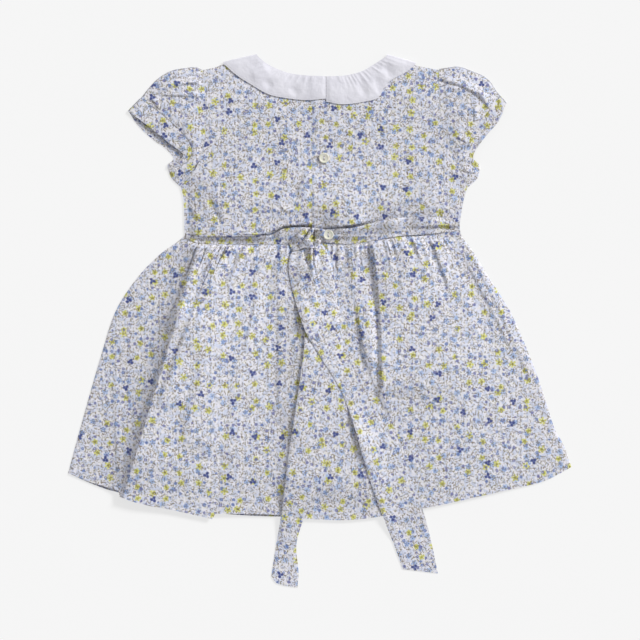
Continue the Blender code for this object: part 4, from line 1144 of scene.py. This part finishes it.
def tail_spots(west, east, end, columns, rows):
    west, east = Edge(west), Edge(east)
    return patch(straight(west.at(0.0), east.at(0.0)), Edge(end), shares(columns), shares(rows), west, east)


spots = patch(Edge(SASH_LEFT_TOP), Edge(SASH_LEFT_FOOT), shares(90), shares(14))
lay_band("left_sash", spots, SASH_FOLDS, (12, 90), math.pi / 2, full=0.1, tension=4, reach=0)
spots = patch(Edge(SASH_RIGHT_TOP), Edge(SASH_RIGHT_FOOT), shares(110), shares(32))
lay_band("right_sash", spots, SASH_FOLDS, (55, 20), math.pi / 2, full=0.2, tension=4, reach=0)
spots = tail_spots(TAIL_LEFT_WEST, TAIL_LEFT_EAST, TAIL_LEFT_END, 26, 190)
lay_band("left_tail", spots, TAIL_LEFT_FOLDS, (140, 10), 0.1, steepest=0.16)
spots = tail_spots(TAIL_RIGHT_WEST, TAIL_RIGHT_EAST, TAIL_RIGHT_END, 80, 240)
lay_band("right_tail", spots, TAIL_RIGHT_FOLDS, (30, 130), -0.45, steepest=0.16, hollows=POCKET)

# %% Knot
KNOT_WEST, KNOT_EAST = [(-11, 87.6), (-19, 83.5), (-29.5, 73)], [(5, 85), (4, 78), (-1, 67)]
KNOT_FOOT = [(-29, 73), (-24, 65), (-14, 68), (-1, 67)]
KNOT_WIDE, KNOT_LONG, KNOT_RISE = 30, 22, 4.4
KNOT_FOLDS = [
    ((-5, 100), (-19, 80), (-36, 60), 2.8, 3.5, 3.0),  # long strip
    ((0, 98), (-16, 76), (-32, 53), -5.0, 0.7, 0.8),  # deep line
    ((-2, 98), (-10, 76), (-20, 56), 2.4, 3.0, 3.0),  # middle strip
    ((-4, 100), (-6, 76), (-6, 50), -3.2, 0.8, 0.8),  # upright line
    ((4, 100), (-1, 76), (-4, 50), 0.8, 3.0, 3.5),  # right strip
]

spots = tail_spots(KNOT_WEST, KNOT_EAST, KNOT_FOOT, 72, 56)
from_side = KNOT_WIDE / 2 - abs(KNOT_WIDE * shares(72) - KNOT_WIDE / 2)
from_top = KNOT_LONG * shares(56)
rim = soft_step(0, 2, from_side)[:, None] * soft_step(0, 1.5, from_top)
rim = rim * (0.15 + 0.85 * soft_step(0, 12, KNOT_LONG - from_top))
tops = laid(spots, rim * (KNOT_RISE + fold_heights(KNOT_FOLDS, spots)), tension=2, reach=0)
lay("sash_knot_cloth", spots, tops, (77, 140), 0.8)

# %% [markdown]
# ## Buttons
#
# A small resin button is turned: a rim round a shallow dish, with two holes. A lathe shape
# follows from one profile. The holes are drilled out of it with a Boolean modifier, and a
# few turns of thread pass between them.

# %% Buttons
HOLE_RADIUS, HOLE_AT, DRILL_SIDES = 0.75, 1.5, 16
LATHE_SIDES = 48
DISH = 1.65  # height of the floor between the holes
BUTTON_PROFILE = [
    # distance from the middle, height
    (2.9, DISH), (3.5, 1.9), (4.0, 2.2), (4.4, 2.2), (4.8, 1.9), (5.0, 1.4), (4.9, 0.7), (4.4, 0.1), (4.0, 0.0),
]
BUTTONS = {"middle": (4, 152, 3), "waist": (8, 80, 1)}  # its place, and how far round it the pile holds it up


def circle(count, radius=1.0):
    angles = np.arange(count) * math.tau / count
    return np.stack([radius * np.cos(angles), radius * np.sin(angles)], -1)


def ring_faces(low, around):
    """Faces between a ring of points, numbered from low, and the ring after it."""
    pairs = [(low + k, low + (k + 1) % around) for k in range(around)]
    return [(a, a + around, b + around, b) for a, b in pairs]


def make_drill(way):
    ring = circle(DRILL_SIDES, HOLE_RADIUS) + (0, way * HOLE_AT)
    points = [(*spot, z) for z in (4, -1) for spot in ring]
    caps = [tuple(range(DRILL_SIDES)), tuple(range(2 * DRILL_SIDES - 1, DRILL_SIDES - 1, -1))]
    return add_object("drill", new_mesh("drill", points, [], caps + ring_faces(0, DRILL_SIDES)))


def make_button(side, x, y, base):
    rings = [np.column_stack([circle(LATHE_SIDES, radius), [z] * LATHE_SIDES]) for radius, z in BUTTON_PROFILE]
    points = np.concatenate([[(0, 0, DISH)], *rings, [(0, 0, 0)]])
    lows = range(1, len(points) - 1, LATHE_SIDES)
    after = [(k + 1) % LATHE_SIDES for k in range(LATHE_SIDES)]
    faces = [(0, 1 + k, 1 + after[k]) for k in range(LATHE_SIDES)]
    faces += [face for low in lows[:-1] for face in ring_faces(low, LATHE_SIDES)]
    faces += [(len(points) - 1, lows[-1] + after[k], lows[-1] + k) for k in range(LATHE_SIDES)]
    blank = add_object("blank", new_mesh("blank", points, [], faces))
    drills = [make_drill(way) for way in (-1, 1)]
    for drill in drills:
        hole = blank.modifiers.new("hole", "BOOLEAN")
        hole.object, hole.operation, hole.solver = drill, "DIFFERENCE", "EXACT"
    mesh = plain_mesh(blank)
    for drill in drills:
        bpy.data.objects.remove(drill)
    mesh.name = f"{side}_button"
    spots = np.array([v.co for v in mesh.vertices]) + np.array([x, y, base]) * MM
    mesh.vertices.foreach_set("co", spots.ravel())
    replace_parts(finished(f"{side}_button", mesh, IVORY), f"button_{side}")


def make_button_thread(side, x, y, high, turns=3, rings=7, sides=6, gap=0.4, radius=0.2):
    """Turns of thread over a button, each an arched tube from one hole to the other."""
    points, faces = [], []
    for turn in range(turns):
        first = len(points)
        for share in np.linspace(0, 1, rings):
            arch = 1.1 * math.sin(math.pi * share) ** 0.4 - 0.9
            middle = (x + (turn - (turns - 1) / 2) * gap, y + (2 * share - 1) * HOLE_AT, high + arch)
            points += [np.add(middle, (p, 0, q)) for p, q in circle(sides, radius)]
        for low in range(first, len(points) - sides, sides):
            faces += ring_faces(low, sides)
        last = len(points) - 1
        faces += [tuple(range(first, first + sides)), tuple(range(last, last - sides, -1))]
    finished(f"{side}_button_thread", new_mesh(f"{side}_button_thread", points, [], faces), SEWN)


bases = {}
for side, (x, y, reach) in BUTTONS.items():
    bases[side] = under(np.array([[[x, y]]], float), reach).item() + 0.1
    make_button(side, x, y, bases[side])
for side, (x, y, _) in BUTTONS.items():
    make_button_thread(side, x, y, bases[side] + DISH)

# %% [markdown]
# ## Stitches
#
# Seams and hems are sewn with one small stitch after another. The way of each seam is a
# line of points kept a few millimetres inside an edge of the cloth. A Geometry Nodes tree
# walks the line in equal steps, lays a small bead of thread on every step along it, turns
# each a very little by chance, and makes them real.

# %% Stitch lines
def seam(name, inset, *edges):
    """Lines on a cloth, inset millimetres inside some of its edges."""
    grid, lines = grids[name], []
    turned = {"top": grid, "foot": grid[:, ::-1]}
    turned |= {"west": grid.swapaxes(0, 1), "east": grid[::-1].swapaxes(0, 1)}
    for edge in edges:
        inward = zip(walked(turned[edge], 1), turned[edge])
        line = np.array([[np.interp(inset, way, column[:, k]) for k in range(3)] for way, column in inward])
        lines.append(line[1:-1] + (0, 0, 0.04))
    return lines


# %% Stitch tree
def stitch_tree():
    """Lines in, stitches out. Sizes are in metres."""
    tree = bpy.data.node_groups.new("stitches_along_lines", "GeometryNodeTree")
    inputs = {"Lines": "Geometry", "Pitch": "Float", "Length": "Float", "Thickness": "Float"}
    inputs |= {"Unevenness": "Float", "Seed": "Int", "Thread": "Material"}
    for name, kind in inputs.items():
        tree.interface.new_socket(name, in_out="INPUT", socket_type=f"NodeSocket{kind}")
    tree.interface.new_socket("Stitches", in_out="OUTPUT", socket_type="NodeSocketGeometry")

    def node(kind, sockets, settings=None, output=0):
        return add_node(tree, kind, settings or {}, sockets).outputs[output]

    given = add_node(tree, "NodeGroupInput", {}, {}).outputs
    curve = node("GeometryNodeMeshToCurve", {"Mesh": given["Lines"]})
    places = node("GeometryNodeResampleCurve", {"Curve": curve, "Length": given["Pitch"]}, {"mode": "LENGTH"})
    size = node("ShaderNodeCombineXYZ", {0: given["Thickness"], 1: given["Thickness"], 2: given["Length"]})
    bead = node("GeometryNodeMeshUVSphere", {"Segments": 6, "Rings": 4, "Radius": 0.5})
    thread = node("GeometryNodeTransform", {"Geometry": bead, "Scale": size})
    along = node("GeometryNodeInputTangent", {})
    turn = node("FunctionNodeAlignRotationToVector", {"Vector": along}, {"axis": "Z"})
    least = node("ShaderNodeMath", {0: given["Unevenness"], 1: -1.0}, {"operation": "MULTIPLY"})
    limits = {2: least, 3: given["Unevenness"], "Seed": given["Seed"]}
    chance = node("FunctionNodeRandomValue", limits, {"data_type": "FLOAT"}, output=1)
    tilt = node("FunctionNodeEulerToRotation", {0: node("ShaderNodeCombineXYZ", {0: chance, 1: chance})})
    way = node("FunctionNodeRotateRotation", {"Rotation": turn, "Rotate By": tilt}, {"rotation_space": "LOCAL"})
    sewn = node("GeometryNodeInstanceOnPoints", {"Points": places, "Instance": thread, "Rotation": way})
    real = node("GeometryNodeRealizeInstances", {"Geometry": sewn})
    painted = node("GeometryNodeSetMaterial", {"Geometry": real, "Material": given["Thread"]})
    add_node(tree, "NodeGroupOutput", {}, {"Stitches": painted})
    return tree


stitching = stitch_tree()
print("stitch tree:", len(stitching.nodes), "nodes")

# %% Sewing
STITCH_LENGTH, STITCH_THICK = 1.9, 0.3


def sew(name, lines, pitch, seed):
    """One mesh of all the stitches along some lines, given in millimetres."""
    starts = np.cumsum([0] + [len(line) for line in lines])
    edges = [(k, k + 1) for first, last in zip(starts, starts[1:]) for k in range(first, last - 1)]
    carrier = add_object(name + "_lines", new_mesh(name + "_lines", np.concatenate(lines), edges, []))
    sewing = carrier.modifiers.new("sewing", "NODES")
    sewing.node_group = stitching
    wanted = {"Pitch": pitch * MM, "Length": STITCH_LENGTH * MM, "Thickness": STITCH_THICK * MM}
    wanted |= {"Unevenness": 0.08, "Seed": seed, "Thread": SEWN[0]}
    for socket in stitching.interface.items_tree:
        if socket.name in wanted:
            sewing[socket.identifier] = wanted[socket.name]
    mesh = plain_mesh(carrier)
    mesh.materials.clear()
    finished(name, mesh, SEWN)


sew("skirt_hem_stitches", seam("back_skirt", 11, "foot"), 2.8, 1)
placket_lines = seam("right_back_bodice", 2, "west") + seam("right_back_bodice", 24, "west")
sew("placket_stitches", placket_lines, 2.6, 2)
sew("collar_stitches", seam("left_frill", 2, "foot") + seam("right_frill", 2, "foot"), 2.4, 3)
sew("sleeve_band_stitches", seam("left_band", 1.4, "foot") + seam("right_band", 1.4, "foot"), 2.4, 4)
sash_lines = seam("left_sash", 1.3, "top", "foot") + seam("right_sash", 1.3, "top", "foot")
for tail in ("left_tail", "right_tail"):
    sash_lines += seam(tail, 1.5, "west", "east", "foot")
sew("sash_stitches", sash_lines, 2.6, 5)

# %% [markdown]
# ## What each piece stands for, and the size of its cut
#
# Each cloth replaces its solid of the imported model. Its row gives how large it was cut, how it is held and
# what it lies on; only the cut is used, to print the cloth's area beside it. A tube gives its whole way round.

# %% Cloth sizes
CLOTHS = [
    # piece, node, cut in millimetres, how it is held, what it lies on, share of the rectangle
    ("front_bodice", "bodice_front", (275, 172), "laid", ["floor_board"], 0.80),
    ("front_skirt", "skirt_front", (500, 262), "gathered", ["floor_board"], None),
    ("left_back_bodice", "bodice_back_left", (150, 172), "laid", ["front_bodice"], 0.80),
    ("right_back_bodice", "bodice_back_right", (150, 172), "laid", ["front_bodice"], 0.80),
    ("back_skirt", "skirt_back", (500, 266), "gathered", ["front_skirt"], None),
    ("left_sleeve", "sleeve_left", (200, 78), "gathered", ["floor_board"], 0.6),
    ("right_sleeve", "sleeve_right", (200, 78), "gathered", ["floor_board"], 0.6),
    ("left_band", "cuff_left", (170, 17), "laid", ["floor_board"], None),
    ("right_band", "cuff_right", (150, 12), "laid", ["floor_board"], None),
    ("frill_collar", "collar", (430, 30), "gathered", ["left_back_bodice", "right_back_bodice"], None),
    ("left_sash", "sash_left", (37, 115), "folded", ["left_back_bodice", "back_skirt"], 0.32),
    ("right_sash", "sash_right", (37, 135), "folded", ["right_back_bodice", "back_skirt"], 0.5),
    ("left_tail", "tail_left", (37, 330), "laid", ["back_skirt"], None),
    ("right_tail", "tail_right", (37, 340), "laid", ["back_skirt", "left_tail"], None),
    ("sash_knot_cloth", "sash_knot", (37, 34), "folded", ["left_sash", "right_sash"], None),
]
for name, node, (wide, long), held, on, share in CLOTHS:
    piece = bpy.data.objects[name]
    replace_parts(piece, node)
    one_side = sum(face.area for face in piece.data.polygons) / 2 / (MM * MM)
    cut = wide * long * (share or 1)
    print(f"{name}: {one_side:.0f} of {cut:.0f} square mm, {one_side / cut:.2f}")

# %% [markdown]
# ## Floor and light
#
# A shop shows clothes on a pale board under broad, soft light. One large soft source from
# the upper right shows the folds, and a bright surround fills the shadows.

# %% Floor
BOARD_HALF, BOARD_DEPTH, BOARD_GLOW = 4000, -0.2, 0.655
bench = Bench("pale_board")
grain = bench.noise(bench.object_place(), 1 / 6, dimensions="3D")
board_paint = bench.painted(
    bench.mix((0.27, 0.27, 0.27, 1.0), (0.28, 0.28, 0.28, 1.0), grain), 0.9,
    Emission_Color=(1.0, 1.0, 1.0, 1.0), Emission_Strength=BOARD_GLOW, Specular_IOR_Level=0.0,
)
corners = [(x * BOARD_HALF, y * BOARD_HALF, BOARD_DEPTH) for x, y in ((-1, -1), (1, -1), (1, 1), (-1, 1))]
board = new_mesh("floor_board", corners, [], [(0, 1, 2, 3)])
board.materials.append(board_paint)
add_object("floor_board", board)

# %% Light
KEY_HEIGHT, KEY_TURN, KEY_SPREAD = math.radians(32), math.radians(36), math.radians(15)
KEY_SHARE, SURROUND = 0.5, 0.46  # light on level cloth from the key and from all round
key_data = bpy.data.lights.new("soft_window", "SUN")
key_data.energy = KEY_SHARE * math.pi / math.sin(KEY_HEIGHT)
key_data.angle = KEY_SPREAD
key = add_object("soft_window", key_data)
key.rotation_euler = (math.pi / 2 - KEY_HEIGHT, 0, math.pi / 2 + KEY_TURN)
world = bpy.data.worlds.new("bright_room")
world.use_nodes = True
sky = world.node_tree.nodes["Background"].inputs
sky["Color"].default_value, sky["Strength"].default_value = (1.0, 1.0, 1.0, 1.0), SURROUND
bpy.context.scene.world = world
bpy.context.scene.view_settings.view_transform = "Standard"
